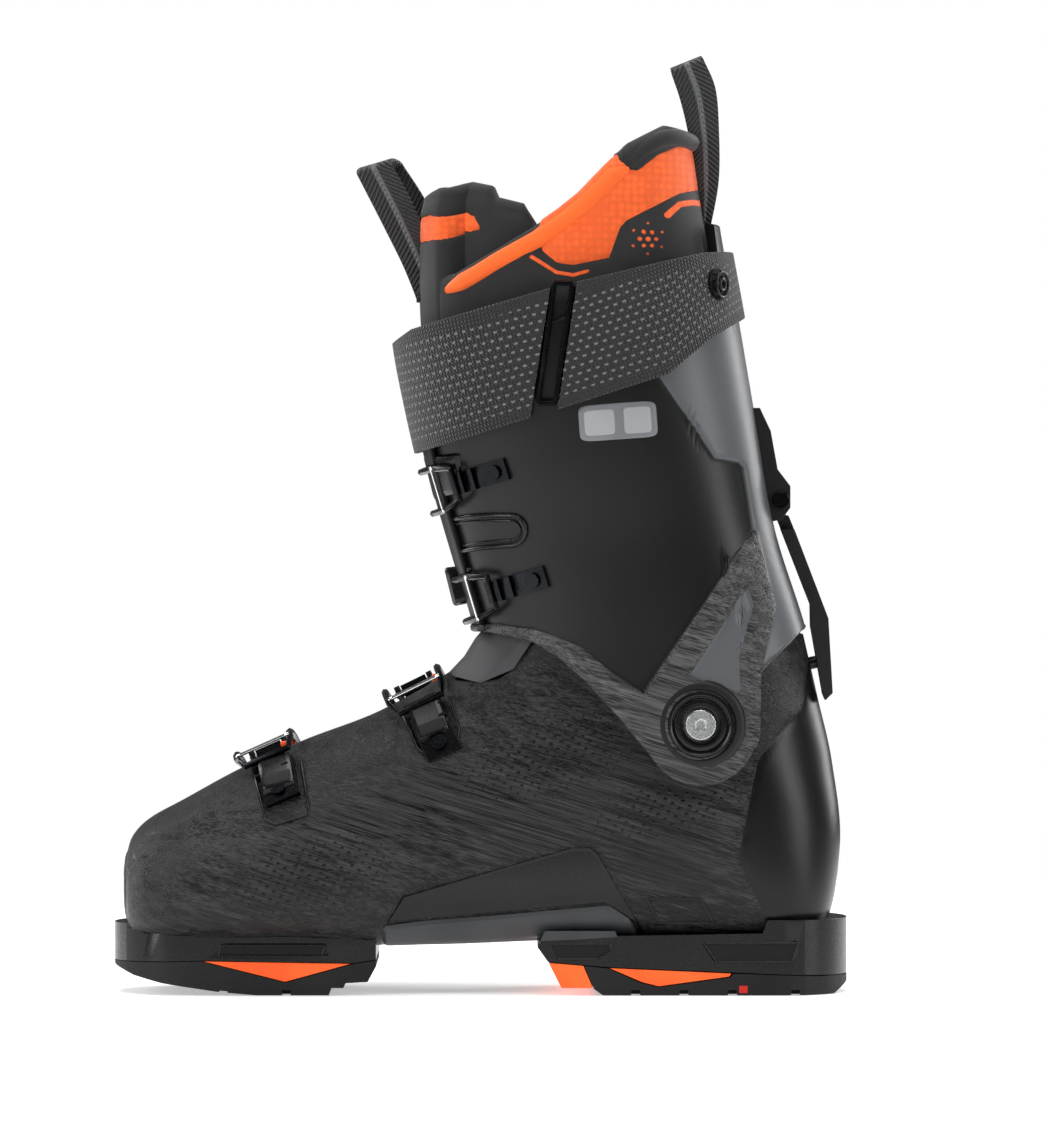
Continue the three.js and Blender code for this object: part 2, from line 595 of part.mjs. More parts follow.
// ---------- buckles ----------
// Each buckle works in the plane square to the boot's front line: s runs along the skin from the
// mid-line towards the lateral side, h is the height over the skin, w is along the front line.
const BUCKLES = [
  { name: "toe", on: FOOT, x: -88, z: 97, lean: 24, lever: 24, ladder: 24, width: FOOT_BUCKLE },
  { name: "instep", on: FOOT, x: -27, z: 125, lean: 26, lever: 22, ladder: 23, width: FOOT_BUCKLE },
  { name: "lower_cuff", on: LEG, x: -6, z: 163, lean: 106.5, lever: 30, ladder: 30, width: CUFF_BUCKLE },
  { name: "upper_cuff", on: LEG, x: -19.5, z: 208, lean: 106.5, lever: 30, ladder: 30, width: CUFF_BUCKLE },
].map((b) => ({ ...b, ...bucklePlane(b) }));

function bucklePlane(b) {
  const turn = THREE.MathUtils.degToRad(b.lean);
  const normal = vec(-Math.sin(turn), 0, Math.cos(turn));
  const along = vec(normal.z, 0, -normal.x);
  const origin = vec(b.x * KX, 0, b.z * KZ);
  const curve = skinCurve(b.on, origin, along, normal);
  return { normal, along, origin, curve };
}

// The skin's cut through the buckle's plane as [y, h, s] points, from the lateral side over the top.
function skinCurve(list, origin, along, normal) {
  const points = [];
  for (let degrees = -20; degrees <= 200; degrees += 4) {
    const angle = THREE.MathUtils.degToRad(degrees);
    const side = (place) => sectionPoint(stationAt(list, place), angle).sub(origin).dot(along);
    let best = null;
    for (let place = 0; place < list.length - 1.01; place += 0.25) {
      if (side(place) * side(place + 0.25) > 0) continue;
      let [low, high] = [place, place + 0.25];
      for (let i = 0; i < 18; i++) {
        const middle = (low + high) / 2;
        if (side(low) * side(middle) <= 0) high = middle;
        else low = middle;
      }
      best = low;
    }
    if (best === null) continue;
    const p = sectionPoint(stationAt(list, best), angle).sub(origin);
    points.push([p.y, p.dot(normal)]);
  }
  const top = points.reduce((a, p, i) => (Math.abs(p[0]) < Math.abs(points[a][0]) ? i : a), 0);
  const lengths = [0];
  for (let i = 1; i < points.length; i++) {
    lengths.push(lengths[i - 1] + Math.hypot(points[i][0] - points[i - 1][0],
      points[i][1] - points[i - 1][1]));
  }
  return points.map(([y, h], i) => [y, h, lengths[top] - lengths[i]]);
}

// The point at s along the skin and a height over it, in the buckle's plane.
function onSkin(curve, s, height) {
  let i = 1;
  while (i < curve.length - 1 && curve[i][2] > s) i++;
  const [a, b] = [curve[i - 1], curve[i]];
  const t = (a[2] - s) / (a[2] - b[2]);
  const slope = Math.hypot(b[0] - a[0], b[1] - a[1]);
  const normal = [(a[1] - b[1]) / slope, -(a[0] - b[0]) / slope];
  const flip = normal[1] * 1 + normal[0] * Math.sign(a[0]) * 0.5 >= 0 ? -1 : 1;
  return [a[0] + (b[0] - a[0]) * t + -flip * normal[0] * height,
    a[1] + (b[1] - a[1]) * t + -flip * normal[1] * height];
}

// Turns a shape drawn in the buckle's plane into a solid of a given width along w.
function fromPlane(b, points, w0, w1) {
  const shape = new THREE.Shape(points.map(([y, h]) => new THREE.Vector2(y, h)));
  const geometry = new THREE.ExtrudeGeometry(shape, { depth: w1 - w0, bevelEnabled: false });
  geometry.translate(0, 0, w0);
  return solid(geometry.applyMatrix4(planeMatrix(b)));
}
const planeMatrix = (b) => new THREE.Matrix4().makeBasis(vec(0, 1, 0), b.normal,
  b.along).setPosition(b.origin);
const planePoint = (b, [y, h], w = 0) => vec(y, h, w).applyMatrix4(planeMatrix(b));

// A strip that follows the skin between two places and two heights.
function strip(b, s0, s1, low, high, w, steps = 8) {
  const places = Array.from({ length: steps + 1 }, (_, i) => s0 + ((s1 - s0) * i) / steps);
  const under = places.map((s) => onSkin(b.curve, s, low));
  const over = places.map((s) => onSkin(b.curve, s, high)).reverse();
  return fromPlane(b, [...under, ...over], -w / 2, w / 2);
}
const pinOf = (b) => onSkin(b.curve, b.lever, PIN_HEIGHT);
const bailPivotOf = (b) => onSkin(b.curve, b.lever + THROW, PIN_HEIGHT);
const across = (b, point, w, radius, segments = 14) => bar(planePoint(b, point, -w / 2), planePoint(b, point,
  w / 2), radius, segments);
const clearOf = (b) => (b.on === FOOT ? foot(-GAP, { from: 3, to: 9 }) : leg(-GAP, { ...LEG_FINE, to: 5 }));
const PIN_HEIGHT = 5.6;
const EAR = 3.4;
const EAR_THICK = 2.4;
const earOut = (b) => b.width / 2 - 4.9;
const rootHalf = (b) => earOut(b) - EAR_THICK - RUN;

function buckleBase(b) {
  const out = earOut(b);
  const pad = strip(b, b.lever - 5, b.lever + 21, -3, 1.6, 2 * out, 3);
  const ear = (w0, w1) => {
    const outline = [[-4, 0.8], [4, 0.8], [3.4, PIN_HEIGHT + 1.6], [1.4, PIN_HEIGHT + EAR], [-1.4,
      PIN_HEIGHT + EAR], [-3.4, PIN_HEIGHT + 1.6]];
    return fromPlane(b, outline.map(([s, h]) => onSkin(b.curve, b.lever + s, h)), w0, w1);
  };
  const made = pad.add(ear(out - EAR_THICK, out)).add(ear(-out, EAR_THICK - out));
  return made.subtract(clearOf(b)).subtract(across(b, pinOf(b), 40, PIN_RADIUS + 0.1, 8));
}

const leverPin = (b) => across(b, pinOf(b), 2 * earOut(b) + 1.2, PIN_RADIUS, 8);

// The lever is one thick strip, narrow between the ears and the bail's arms and wide beyond them.
function lever(b) {
  const reach = b.lever + THROW;
  const low = PIN_HEIGHT - LEVER_THICK / 2;
  const half = b.width / 2 - ARM_ROOM / 2;
  const neck = rootHalf(b);
  const cut = (w0, w1) => {
    const side = [[b.lever - 8, low - 3], [reach + 3.6, low - 3], [reach + 3.6, low + LEVER_THICK + 3]];
    side.push([b.lever - 8, low + LEVER_THICK + 3]);
    return fromPlane(b, side.map(([s, h]) => onSkin(b.curve, s, h)), w0, w1);
  };
  return strip(b, b.lever - 2.6, b.lever + LEVER_LENGTH, low, low + LEVER_THICK, 2 * half, 6)
    .subtract(cut(neck, half + 5))
    .subtract(cut(-half - 5, -neck))
    .subtract(across(b, pinOf(b), 40, PIN_RADIUS + 0.2, 8))
    .subtract(across(b, bailPivotOf(b), 40, WIRE + 0.25, 8));
}

// The bail is one closed wire: through the lever, over the flap and behind a tooth of the ladder.
const hookOf = (b) => -(b.ladder + 1.5);
const ARM_HEIGHT = 5.5;
function bail(b) {
  const half = b.width / 2 - WIRE;
  const [start, end] = [b.lever + THROW, hookOf(b)];
  const heightAt = (t) => {
    if (t > 0.8) return ARM_HEIGHT + (LADDER_THICK + WIRE + 0.8 - ARM_HEIGHT) * ((t - 0.8) / 0.2);
    return PIN_HEIGHT + (ARM_HEIGHT - PIN_HEIGHT) * Math.min(1, t / 0.2);
  };
  const arm = Array.from({ length: 8 }, (_, i) => onSkin(b.curve, start + ((end - start) * i) / 7,
    heightAt(i / 7)));
  const bend = 2.4;
  const outward = arm.map((p, i) => planePoint(b, p, i === 0 || i === 7 ? half - bend : half));
  const back = arm.map((p, i) => planePoint(b, p, i === 0 || i === 7 ? bend - half : -half)).reverse();
  return wire([...outward, ...back], WIRE, 6);
}

// A closed round wire through a list of points.
function wire(path, radius, sides) {
  const count = path.length;
  const centre = path.reduce((sum, p) => sum.add(p), vec(0, 0, 0)).divideScalar(count);
  const rings = path.map((p, i) => {
    const tangent = path[(i + 1) % count].clone().sub(path[(i + count - 1) % count]).normalize();
    const inward = centre.clone().sub(p);
    const u = inward.sub(tangent.clone().multiplyScalar(inward.dot(tangent))).normalize();
    const v = tangent.clone().cross(u);
    return circle(sides).map((a) =>
      p.clone().add(u.clone().multiplyScalar(radius * Math.cos(a))).add(v.clone().multiplyScalar(radius * Math.sin(a))),
    );
  });
  return loft(rings, true);
}

function ladder(b) {
  const width = b.width - LADDER_ROOM;
  let made = strip(b, 3.6 - b.ladder, -(b.ladder + 26), -3, LADDER_THICK, width, 5).subtract(clearOf(b));
  for (let i = 0; i < 3; i++) {
    const s = hookOf(b) + WIRE + 0.8 - i * TOOTH_PITCH;
    const points = [
      onSkin(b.curve, s, LADDER_THICK - 0.6),
      onSkin(b.curve, s + 2.2, LADDER_THICK - 0.6),
      onSkin(b.curve, s + 1.2, LADDER_THICK + TOOTH),
      onSkin(b.curve, s, LADDER_THICK + TOOTH),
    ];
    made = made.add(fromPlane(b, points, -width / 2, width / 2));
  }
  return made.subtract(rivetHole(b));
}

const rivetSpot = (b) => hookOf(b) - 19;
function rivetHole(b) {
  const s = rivetSpot(b);
  return bar(planePoint(b, onSkin(b.curve, s, -9)), planePoint(b, onSkin(b.curve, s, 9)), RIVET_SHANK + 0.2,
    8);
}
function ladderRivet(b) {
  const s = rivetSpot(b);
  const at = (h) => planePoint(b, onSkin(b.curve, s, h));
  const wall = b.on === FOOT ? SHELL_WALL : CUFF_WALL;
  return bar(at(-wall), at(LADDER_THICK + 1), RIVET_SHANK, 8).add(bar(at(LADDER_THICK + GAP),
    at(LADDER_THICK + 1.5), RIVET_HEAD, 10));
}

// ---------- places on the leg's skin ----------
// The y of the skin on one side, straight out from a point of the side view.
function sideOf(list, x, z, side) {
  const turn = (place) => {
    const s = stationAt(list, place);
    return (s.tx - s.bx) * (z - s.bz) - (s.tz - s.bz) * (x - s.bx);
  };
  let [low, high] = [0, list.length - 1.01];
  for (let i = 0; i < 24; i++) {
    const middle = (low + high) / 2;
    if (turn(low) * turn(middle) <= 0) high = middle;
    else low = middle;
  }
  const s = stationAt(list, low);
  const length = Math.hypot(s.tx - s.bx, s.tz - s.bz);
  const share = ((x - s.bx) * (s.tx - s.bx) + (z - s.bz) * (s.tz - s.bz)) / length ** 2;
  const [rise, power] = share >= s.mid ? [(share - s.mid) / (1 - s.mid), s.eHigh] : [(s.mid - share) / s.mid,
    s.eLow];
  const half = side > 0 ? s.lateral : s.medial;
  return s.shift + side * half * Math.max(0, 1 - rise ** power) ** (1 / power);
}

// The point and the outward direction of the skin at a place in a list and an angle round it.
function skinAt(list, place, angle) {
  const at = (u, a) => sectionPoint(stationAt(list, u), a);
  const point = at(place, angle);
  const along = at(place + 0.05, angle).sub(at(place - 0.05, angle));
  const round = at(place, angle + 0.05).sub(at(place, angle - 0.05));
  return { point, normal: round.cross(along).normalize() };
}

// ---------- power strap ----------
const STRAP_SIDE = scaleXZ([
  [-60, 259], [-38, 267], [-26, 275], [27, 290], [90, 305], [140, 309], [140, 280], [107, 279.5], [92, 270],
    [76, 256],
  [39, 244], [-26, 224], [-60, 213],
]);
const STRAP = LEG.map((s) => ({ ...s, tx: s.tx - FLAP, medial: s.medial + GAP, lateral: s.lateral + GAP,
  bx: s.bx + GAP }));
const RING_TOP = { x: 34 * KX, z: 291 * KZ };
const RING_FOOT = { x: 27.5 * KX, z: 246 * KZ };
const STRAP_LIFT = 0.8;
const LATERAL_END = 14 * KX; // where the flap comes out from under the strap's lateral end

function strapBand() {
  const span = { from: 3, to: 8 };
  const band = form(STRAP, -STRAP_THICK - STRAP_LIFT, span).subtract(form(STRAP, -STRAP_LIFT, span));
  return band.intersect(slab(STRAP_SIDE));
}
// Everything on the front side of a line along the ring, moved by a distance.
const before = (by) => {
  const lean = (RING_TOP.x - RING_FOOT.x) / (RING_TOP.z - RING_FOOT.z);
  const x = (z) => RING_FOOT.x + (z - RING_FOOT.z) * lean + by;
  return slab([[-FAR, 0], [x(0), 0], [x(FAR), FAR], [-FAR, FAR]], -FAR, 0);
};
const lateralFront = (x) => slab([[-FAR, 0], [x, 0], [x, FAR], [-FAR, FAR]], 0, FAR);
const powerStrap = () =>
  strapBand()
    .subtract(before(RING_WIDTH / 2))
    .subtract(lateralFront(LATERAL_END))
    .subtract(strapRivet(1, true))
    .subtract(strapRivet(-1, true));
const strapFlap = () => strapBand().intersect(before(-RING_WIDTH / 2).add(lateralFront(LATERAL_END - 0.5)));

// A flat wire ring that joins the strap's two ends on the medial side.
function strapRing() {
  const inset = RING_WIDTH / 2 - RING_WIRE - 0.3;
  const at = (end, by, up) => {
    const [x, z] = [end.x + by, end.z + up];
    return vec(x, sideOf(STRAP, x, z, -1) - STRAP_LIFT - RING_WIRE, z);
  };
  const run = (by) => [0, 0.25, 0.5, 0.75, 1].map((t) =>
    at({ x: RING_FOOT.x + (RING_TOP.x - RING_FOOT.x) * t, z: RING_FOOT.z + (RING_TOP.z - RING_FOOT.z) * t },
      by, 0),
  );
  const path = [...run(-inset), at(RING_TOP, 1 - inset, 2), at(RING_TOP, inset - 1, 2),
    ...run(inset).reverse()];
  path.push(at(RING_FOOT, inset - 1, -2), at(RING_FOOT, 1 - inset, -2));
  return wire(path, RING_WIRE, 6);
}

const STRAP_RIVET = { place: 5.35, angle: 1.32 * Math.PI, head: 6.6, shank: 2.2 };
function strapRivet(side, hole = false) {
  const angle = side < 0 ? STRAP_RIVET.angle : 3 * Math.PI - STRAP_RIVET.angle;
  const { point, normal } = skinAt(LEG, STRAP_RIVET.place, angle);
  const at = (h) => point.clone().add(normal.clone().multiplyScalar(h));
  if (hole) return bar(at(-9), at(9), STRAP_RIVET.shank + GAP, 10);
  const outside = 0.8 + STRAP_THICK + GAP;
  return bar(at(-CUFF_WALL), at(outside + 0.6), STRAP_RIVET.shank, 10).add(bar(at(outside),
    at(outside + 1.3), STRAP_RIVET.head, 16));
}

// ---------- rear link ----------
// A short strut hangs from a bracket on the cuff, and its lower slot slides on a stud in the shell.
const LINK_BOLT = { x: 124.6 * KX, z: 204 * KZ };
const EYE = 4.1;
const EYE_HALF = 4.4;
const BRACKET_HALF = 10;
const BOLT_RADIUS = 2.2;
const STUD = { x: 138.6 * KX, z: 136.5 * KZ, lean: 13 };
const STUD_HEAD = 4.4;
const LINK_OUT = scaleXZ([[128.2, 197.6], [136.9, 176], [144.6, 155], [146.4, 124], [143.4, 121]]);
const LINK_IN = scaleXZ([[142.4, 123.5], [137.4, 151.7], [137.2, 160.8], [126.4, 188.4], [122, 200]]);
const TRACK_DEPTH = 2.6;

function linkBracket() {
  const side = scaleXZ([
    [108, 242.5], [116, 242.5], [120.5, 233], [123.4, 217], [128.7, 210], [128.7, 201], [125, 196], [108,
      193],
  ]);
  const back = leg(-GAP, { ...LEG_FINE, to: 6 });
  const at = (y) => vec(LINK_BOLT.x, y, LINK_BOLT.z);
  return slab(side, -BRACKET_HALF, BRACKET_HALF)
    .subtract(back)
    .subtract(slab(scaleXZ([[100, 180], [150, 180], [150, 212], [100, 212]]), -EYE_HALF - RUN,
      EYE_HALF + RUN))
    .subtract(bar(at(-30), at(30), BOLT_RADIUS + 0.2, 12));
}
function linkBolt() {
  const at = (y) => vec(LINK_BOLT.x, y, LINK_BOLT.z);
  const end = BRACKET_HALF + GAP;
  const heads = bar(at(end), at(end + 1.5), 3.8, 12).add(bar(at(-end), at(-end - 1.5), 3.8, 12));
  return bar(at(-end - 0.5), at(end + 0.5), BOLT_RADIUS, 12).add(heads);
}
const studAt = (out, up = 0) => {
  const lean = THREE.MathUtils.degToRad(STUD.lean);
  return vec(STUD.x + out * Math.cos(lean) - up * Math.sin(lean), 0,
    STUD.z + out * Math.sin(lean) + up * Math.cos(lean));
};
function rearLink() {
  const half = LINK_WIDTH / 2;
  const bolt = (y) => vec(LINK_BOLT.x, y, LINK_BOLT.z);
  const shoulders = slab(scaleXZ([[100, 192], [160, 192], [160, 230], [100, 230]]), -FAR, FAR).subtract(
    slab(scaleXZ([[100, 190], [160, 190], [160, 232], [100, 232]]), -EYE_HALF, EYE_HALF),
  );
  const eye = bar(bolt(-EYE_HALF), bolt(EYE_HALF), EYE, 16);
  const boreHole = bar(bolt(-30), bolt(30), BOLT_RADIUS + 0.3, 12);
  const slot = (radius, from, to) => {
    const run = [2, -11].map((up) => bar(studAt(from, up), studAt(to, up), radius, 14));
    const corners = [[from, 2], [to, 2], [to, -11], [from, -11]].map(([out, up]) => {
      const p = studAt(out, up);
      return [p.x, p.z];
    });
    return run[0].add(run[1]).add(slab(corners, -radius, radius));
  };
  const floor = LINK_FLOOR;
  return slab([...LINK_OUT, ...LINK_IN], -half, half)
    .subtract(shoulders)
    .add(eye)
    .subtract(boreHole)
    .subtract(slot(LINK_SLOT / 2, -5, 20))
    .subtract(slot(STUD_HEAD + 0.7, floor, 20));
}
const LINK_FLOOR = 4.2; // from the stud's place on the shell to the floor of the head's track
function linkStud() {
  const shank = bar(studAt(-SHELL_WALL), studAt(LINK_FLOOR + 1.4), STUD_RADIUS, 12);
  return shank.add(bar(studAt(LINK_FLOOR + 0.6), studAt(LINK_FLOOR + 2), STUD_HEAD, 16));
}
const linkStudHole = () => bar(studAt(-12), studAt(4), STUD_RADIUS + 0.2, 12);

// ---------- loops ----------
// A band of webbing: a side-view path given a thickness, its ends open.
function webbing(path, half) {
  const outer = [];
  const inner = [];
  path.forEach(([x, z], i) => {
    const [a, b] = [path[Math.max(i - 1, 0)], path[Math.min(i + 1, path.length - 1)]];
    const length = Math.hypot(b[0] - a[0], b[1] - a[1]);
    const [nx, nz] = [(-(b[1] - a[1]) / length) * (LOOP_THICK / 2),
      ((b[0] - a[0]) / length) * (LOOP_THICK / 2)];
    outer.push([x + nx, z + nz]);
    inner.unshift([x - nx, z - nz]);
  });
  return slab([...outer, ...inner], -half, half);
}
const FRONT_LOOP = scaleXZ([
  [-25.6, 290], [-29.6, 297], [-35, 306.5], [-40.4, 316.5], [-45.3, 326.8], [-50, 337], [-47.5, 344.5], [-40,
    346.5], [-34.5, 342],
  [-29.5, 333], [-27.4, 322],
]);
const REAR_LOOP = scaleXZ([
  [92.6, 322], [96.6, 334], [97.8, 350], [97.8, 370], [96.2, 380], [92.5, 386.6], [89.5, 386.4], [83.5, 382],
    [82.3, 377.5],
  [85, 370], [89, 361], [92, 352], [92.4, 342], [91.8, 336],
]);
const frontLoop = () => webbing(FRONT_LOOP, LOOP_WIDTH / 2).subtract(linerForm(CUFF_WALL + GAP));
const rearLoop = () => webbing(REAR_LOOP, LOOP_WIDTH / 2).subtract(linerForm(CUFF_WALL + GAP));

// The moulded loop that lies along the cuff's inner side between the two cuff buckles.
function cuffLoop() {
  const b = { on: LEG, x: -12.5, z: 185.5, lean: 106.5 };
  const plane = { ...b, ...bucklePlane(b) };
  const half = 7 - CORD_RADIUS;
  const side = Array.from({ length: 7 }, (_, i) => onSkin(plane.curve, -24 - i * 4.2, CORD_RADIUS + 0.4));
  const edge = (w) => side.map((p, i) => planePoint(plane, p, i === 0 || i === 6 ? w * 0.5 : w));
  return wire([...edge(half), ...edge(-half).reverse()], CORD_RADIUS, 6);
}

// ---------- assembly ----------
const FINISH = {
  shell: [0x1c1c1d, 0.45, 0],
  soft_flap: [0x4a4a4c, 0.5, 0],
  cuff: [0x2b2b2c, 0.4, 0],
  liner: [0x161617, 0.9, 0],
  rubber: [0x1d1d1e, 0.85, 0],
  sole: [0x232324, 0.5, 0],
  orange: [0xf26a21, 0.5, 0],
  steel: [0xb9bbbd, 0.25, 1],
  alloy: [0x18181a, 0.35, 0.6],
  webbing: [0x19191a, 0.95, 0],
  board: [0x2f3032, 0.7, 0],
};
const materials = Object.fromEntries(
  Object.entries(FINISH).map(([name, [color, roughness, metalness]]) => [name,
    new THREE.MeshStandardMaterial({ name, color, roughness, metalness })]),
);
const boot = new THREE.Group();
boot.name = "ski_boot";
function put(name, manifold, finish) {
  const mesh = new THREE.Mesh(finished(manifold), materials[finish]);
  mesh.name = name;
  boot.add(mesh);
}

put("lower_shell", lowerShell(), "shell");
put("instep_flap", instepFlap(), "soft_flap");
put("boot_board", bootBoard(), "board");
put("liner_foot", linerFoot(), "liner");
put("footbed", footbed(), "liner");
put("tongue_lower", tongueLower(), "liner");
put("liner_shaft", linerShaft(), "liner");
put("tongue_upper", tongueUpper(), "liner");
put("cuff", cuff(), "cuff");
put("canting_dial", dial(-1), "alloy");
put("lateral_pivot_ring", dial(1), "alloy");
put("medial_pivot_screw", pivotScrew(-1), "steel");
put("lateral_pivot_screw", pivotScrew(1), "steel");
put("toe_sole", withScrewHoles(toeSole()), "sole");
put("toe_tread_insert", withScrewHoles(toeInsert()), "orange");
put("toe_tread", withScrewHoles(toeTread()), "rubber");
put("heel_sole", withScrewHoles(heelSole()), "sole");
put("heel_tread_insert", withScrewHoles(heelInsert()), "orange");
put("heel_front_pad", heelPad(), "orange");
put("heel_tread", withScrewHoles(heelTread()), "rubber");
for (const screw of SOLE_SCREWS) put(screw.name, soleScrew(screw), "steel");
for (const b of BUCKLES) {
  put(b.name + "_buckle_base", buckleBase(b), "alloy");
  put(b.name + "_lever_pin", leverPin(b), "steel");
  put(b.name + "_lever", lever(b), "alloy");
  put(b.name + "_bail", bail(b), "steel");
  put(b.name + "_ladder", ladder(b), "alloy");
  put(b.name + "_ladder_rivet", ladderRivet(b), "steel");
}
put("power_strap", powerStrap(), "webbing");
put("strap_flap", strapFlap(), "webbing");
put("strap_ring", strapRing(), "steel");
put("medial_strap_rivet", strapRivet(-1), "steel");
put("lateral_strap_rivet", strapRivet(1), "steel");
put("cuff_loop", cuffLoop(), "alloy");
put("front_pull_loop", frontLoop(), "webbing");
put("rear_pull_loop", rearLoop(), "webbing");
put("link_bracket", linkBracket(), "alloy");
put("link_bolt", linkBolt(), "steel");
put("link_stud", linkStud(), "steel");
put("rear_link", rearLink(), "alloy");

export default boot;
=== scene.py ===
"""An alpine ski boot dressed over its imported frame: moulded shell and cuff, webbing, padded liner, buckles
and soles."""
import json
import math

import bmesh
import bpy
import numpy as np
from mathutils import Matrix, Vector

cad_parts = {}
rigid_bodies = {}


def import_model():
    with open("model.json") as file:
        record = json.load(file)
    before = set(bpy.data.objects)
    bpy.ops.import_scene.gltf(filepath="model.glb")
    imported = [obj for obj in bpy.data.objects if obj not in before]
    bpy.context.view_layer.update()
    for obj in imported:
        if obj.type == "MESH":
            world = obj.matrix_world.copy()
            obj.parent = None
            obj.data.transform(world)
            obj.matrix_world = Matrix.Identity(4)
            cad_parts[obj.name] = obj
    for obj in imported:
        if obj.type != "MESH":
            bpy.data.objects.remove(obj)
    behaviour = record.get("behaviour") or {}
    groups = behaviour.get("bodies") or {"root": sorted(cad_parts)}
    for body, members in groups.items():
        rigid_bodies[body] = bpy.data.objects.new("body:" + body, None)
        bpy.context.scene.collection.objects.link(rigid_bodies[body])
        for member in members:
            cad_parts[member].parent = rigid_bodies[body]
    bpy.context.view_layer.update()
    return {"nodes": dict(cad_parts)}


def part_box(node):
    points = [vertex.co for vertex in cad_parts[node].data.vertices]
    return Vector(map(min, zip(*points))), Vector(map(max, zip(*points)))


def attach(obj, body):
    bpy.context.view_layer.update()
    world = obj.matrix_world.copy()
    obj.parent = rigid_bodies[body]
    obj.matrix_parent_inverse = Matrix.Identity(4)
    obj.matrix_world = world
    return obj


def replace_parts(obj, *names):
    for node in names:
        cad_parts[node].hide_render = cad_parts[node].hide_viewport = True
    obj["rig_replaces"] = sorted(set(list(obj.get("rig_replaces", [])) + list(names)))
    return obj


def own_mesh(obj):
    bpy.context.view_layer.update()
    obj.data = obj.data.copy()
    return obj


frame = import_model()
MM = 0.001

# ---------- the boot's outer forms, in millimetres ----------
# One row is one cross-section: low end (x, z), high end (x, z), medial and lateral half widths,
# sideways shift, roundness of the low and high halves, and the height share of the widest point.
FOOT = np.array([
    (-147, 30, -147, 58, 15, 15, -3, 2.6, 2.4, 0.45),
    (-145, 25, -144.5, 65, 26, 26, -3, 3, 2.4, 0.42),
    (-138, 23.5, -137.5, 72, 35, 36, -3, 3.6, 2.4, 0.4),
    (-125, 23, -123, 80, 42.5, 44, -2.5, 4, 2.3, 0.38),
    (-102, 22.5, -100, 92.5, 48, 50, -1.5, 4, 2.2, 0.36),
    (-75, 22.5, -73, 104.5, 51, 54, 0, 3.8, 2.1, 0.34),
    (-46, 19.5, -43, 116, 49, 55, 1, 3.4, 2.1, 0.34),
    (-14, 19.5, -14, 132, 44.5, 50, 1.5, 3.4, 2.1, 0.36),
    (24, 21, -7, 139.5, 42, 44.5, 1, 3.8, 2.1, 0.42),
    (68, 22.5, -2.5, 147, 41.5, 42, 0.5, 4.2, 2.1, 0.46),
    (112, 22.5, 3.5, 154, 41.5, 41.5, 0, 4.2, 2.1, 0.5),
    (141, 25, 7, 161, 41.5, 41.5, 0, 3.4, 2.1, 0.52),
    (149.6, 60, 9, 169, 41.5, 41.5, 0, 2.5, 2.1, 0.5),
    (146.4, 95, 9.5, 177, 41.5, 41.5, 0, 2.1, 2.1, 0.5),
    (140.4, 122, 9.5, 186, 41.5, 41.5, 0, 2, 2.1, 0.5),
    (133.5, 152, 9, 196, 41.5, 41.5, 0, 2, 2.1, 0.5),
], float)
LEG = np.array([
    (141, 78, 26, 78, 47.5, 47.5, 0, 2.8, 2.2, 0.5),
    (141, 112, 8, 112, 47.5, 47.5, 0, 2.8, 2.2, 0.5),
    (135, 148, 0, 151, 47.8, 47.8, 0, 2.8, 2.2, 0.5),
    (121.5, 192, -9, 181, 49.5, 50, 0, 2.6, 2.2, 0.5),
    (113.5, 238, -18.5, 214, 54, 55, 0, 2.4, 2.2, 0.5),
    (106, 282, -25.5, 244, 57.5, 58.5, 0, 2.3, 2.2, 0.5),
    (99.5, 318, -30.5, 271, 58.5, 59.5, 0, 2.3, 2.2, 0.5),
    (95.5, 350, -32.5, 300, 58.5, 59.5, 0, 2.3, 2.2, 0.5),
    (93, 372, -33, 328, 58, 59, 0, 2.3, 2.2, 0.5),
], float)
WALL = 4.5
CUFF_WALL = 4.0
PIVOT = np.array((90.5, 112.0))
MEDIAL, LATERAL = -1, 1


def drawn_in(rows, by):
    """Every section smaller by a distance: its ends move in along the section, its half widths shrink."""
    made = rows.copy()
    run = rows[:, 2:4] - rows[:, 0:2]
    step = by * run / np.linalg.norm(run, axis=1, keepdims=True)
    made[:, 0:2] += step
    made[:, 2:4] -= step
    made[:, 4:6] -= by
    return made


def section(rows, place):
    """The cross-section at fractional places, on Catmull-Rom curves through the listed rows."""
    place = np.clip(np.asarray(place, float), 0, len(rows) - 1)
    i = np.minimum(place.astype(int), len(rows) - 2)
    t = (place - i)[..., None]
    a, b, c, d = (rows[np.clip(i + k, 0, len(rows) - 1)] for k in (-1, 0, 1, 2))
    return b + 0.5 * t * (c - a + t * (2 * a - 5 * b + 4 * c - d + t * (3 * (b - c) + d - a)))


def form(rows, place, turn, lift=0.0):
    """Points of a form: turn is the polar angle in the section, 0 lateral, a quarter turn at its high end.
    The outline is a superellipse of radius (|cos|^e + |sin|^e)^(-1/e), with its own e above and below."""
    s = section(rows, place)
    bx, bz, tx, tz, medial, lateral, shift, low, high, mid = np.moveaxis(s, -1, 0)
    out, up = np.cos(turn), np.sin(turn)
    e = np.where(up >= 0, high, low)
    r = (np.abs(out) ** e + np.abs(up) ** e) ** (-1 / e)
    length = np.hypot(tx - bx, tz - bz)
    rise = r * up * (1 + lift / (length * np.where(up >= 0, 1 - mid, mid)))
    share = mid + rise * np.where(up >= 0, 1 - mid, mid)
    half = np.where(out >= 0, lateral, medial) + lift
    return np.stack([bx + (tx - bx) * share, shift + r * out * half, bz + (tz - bz) * share], -1)


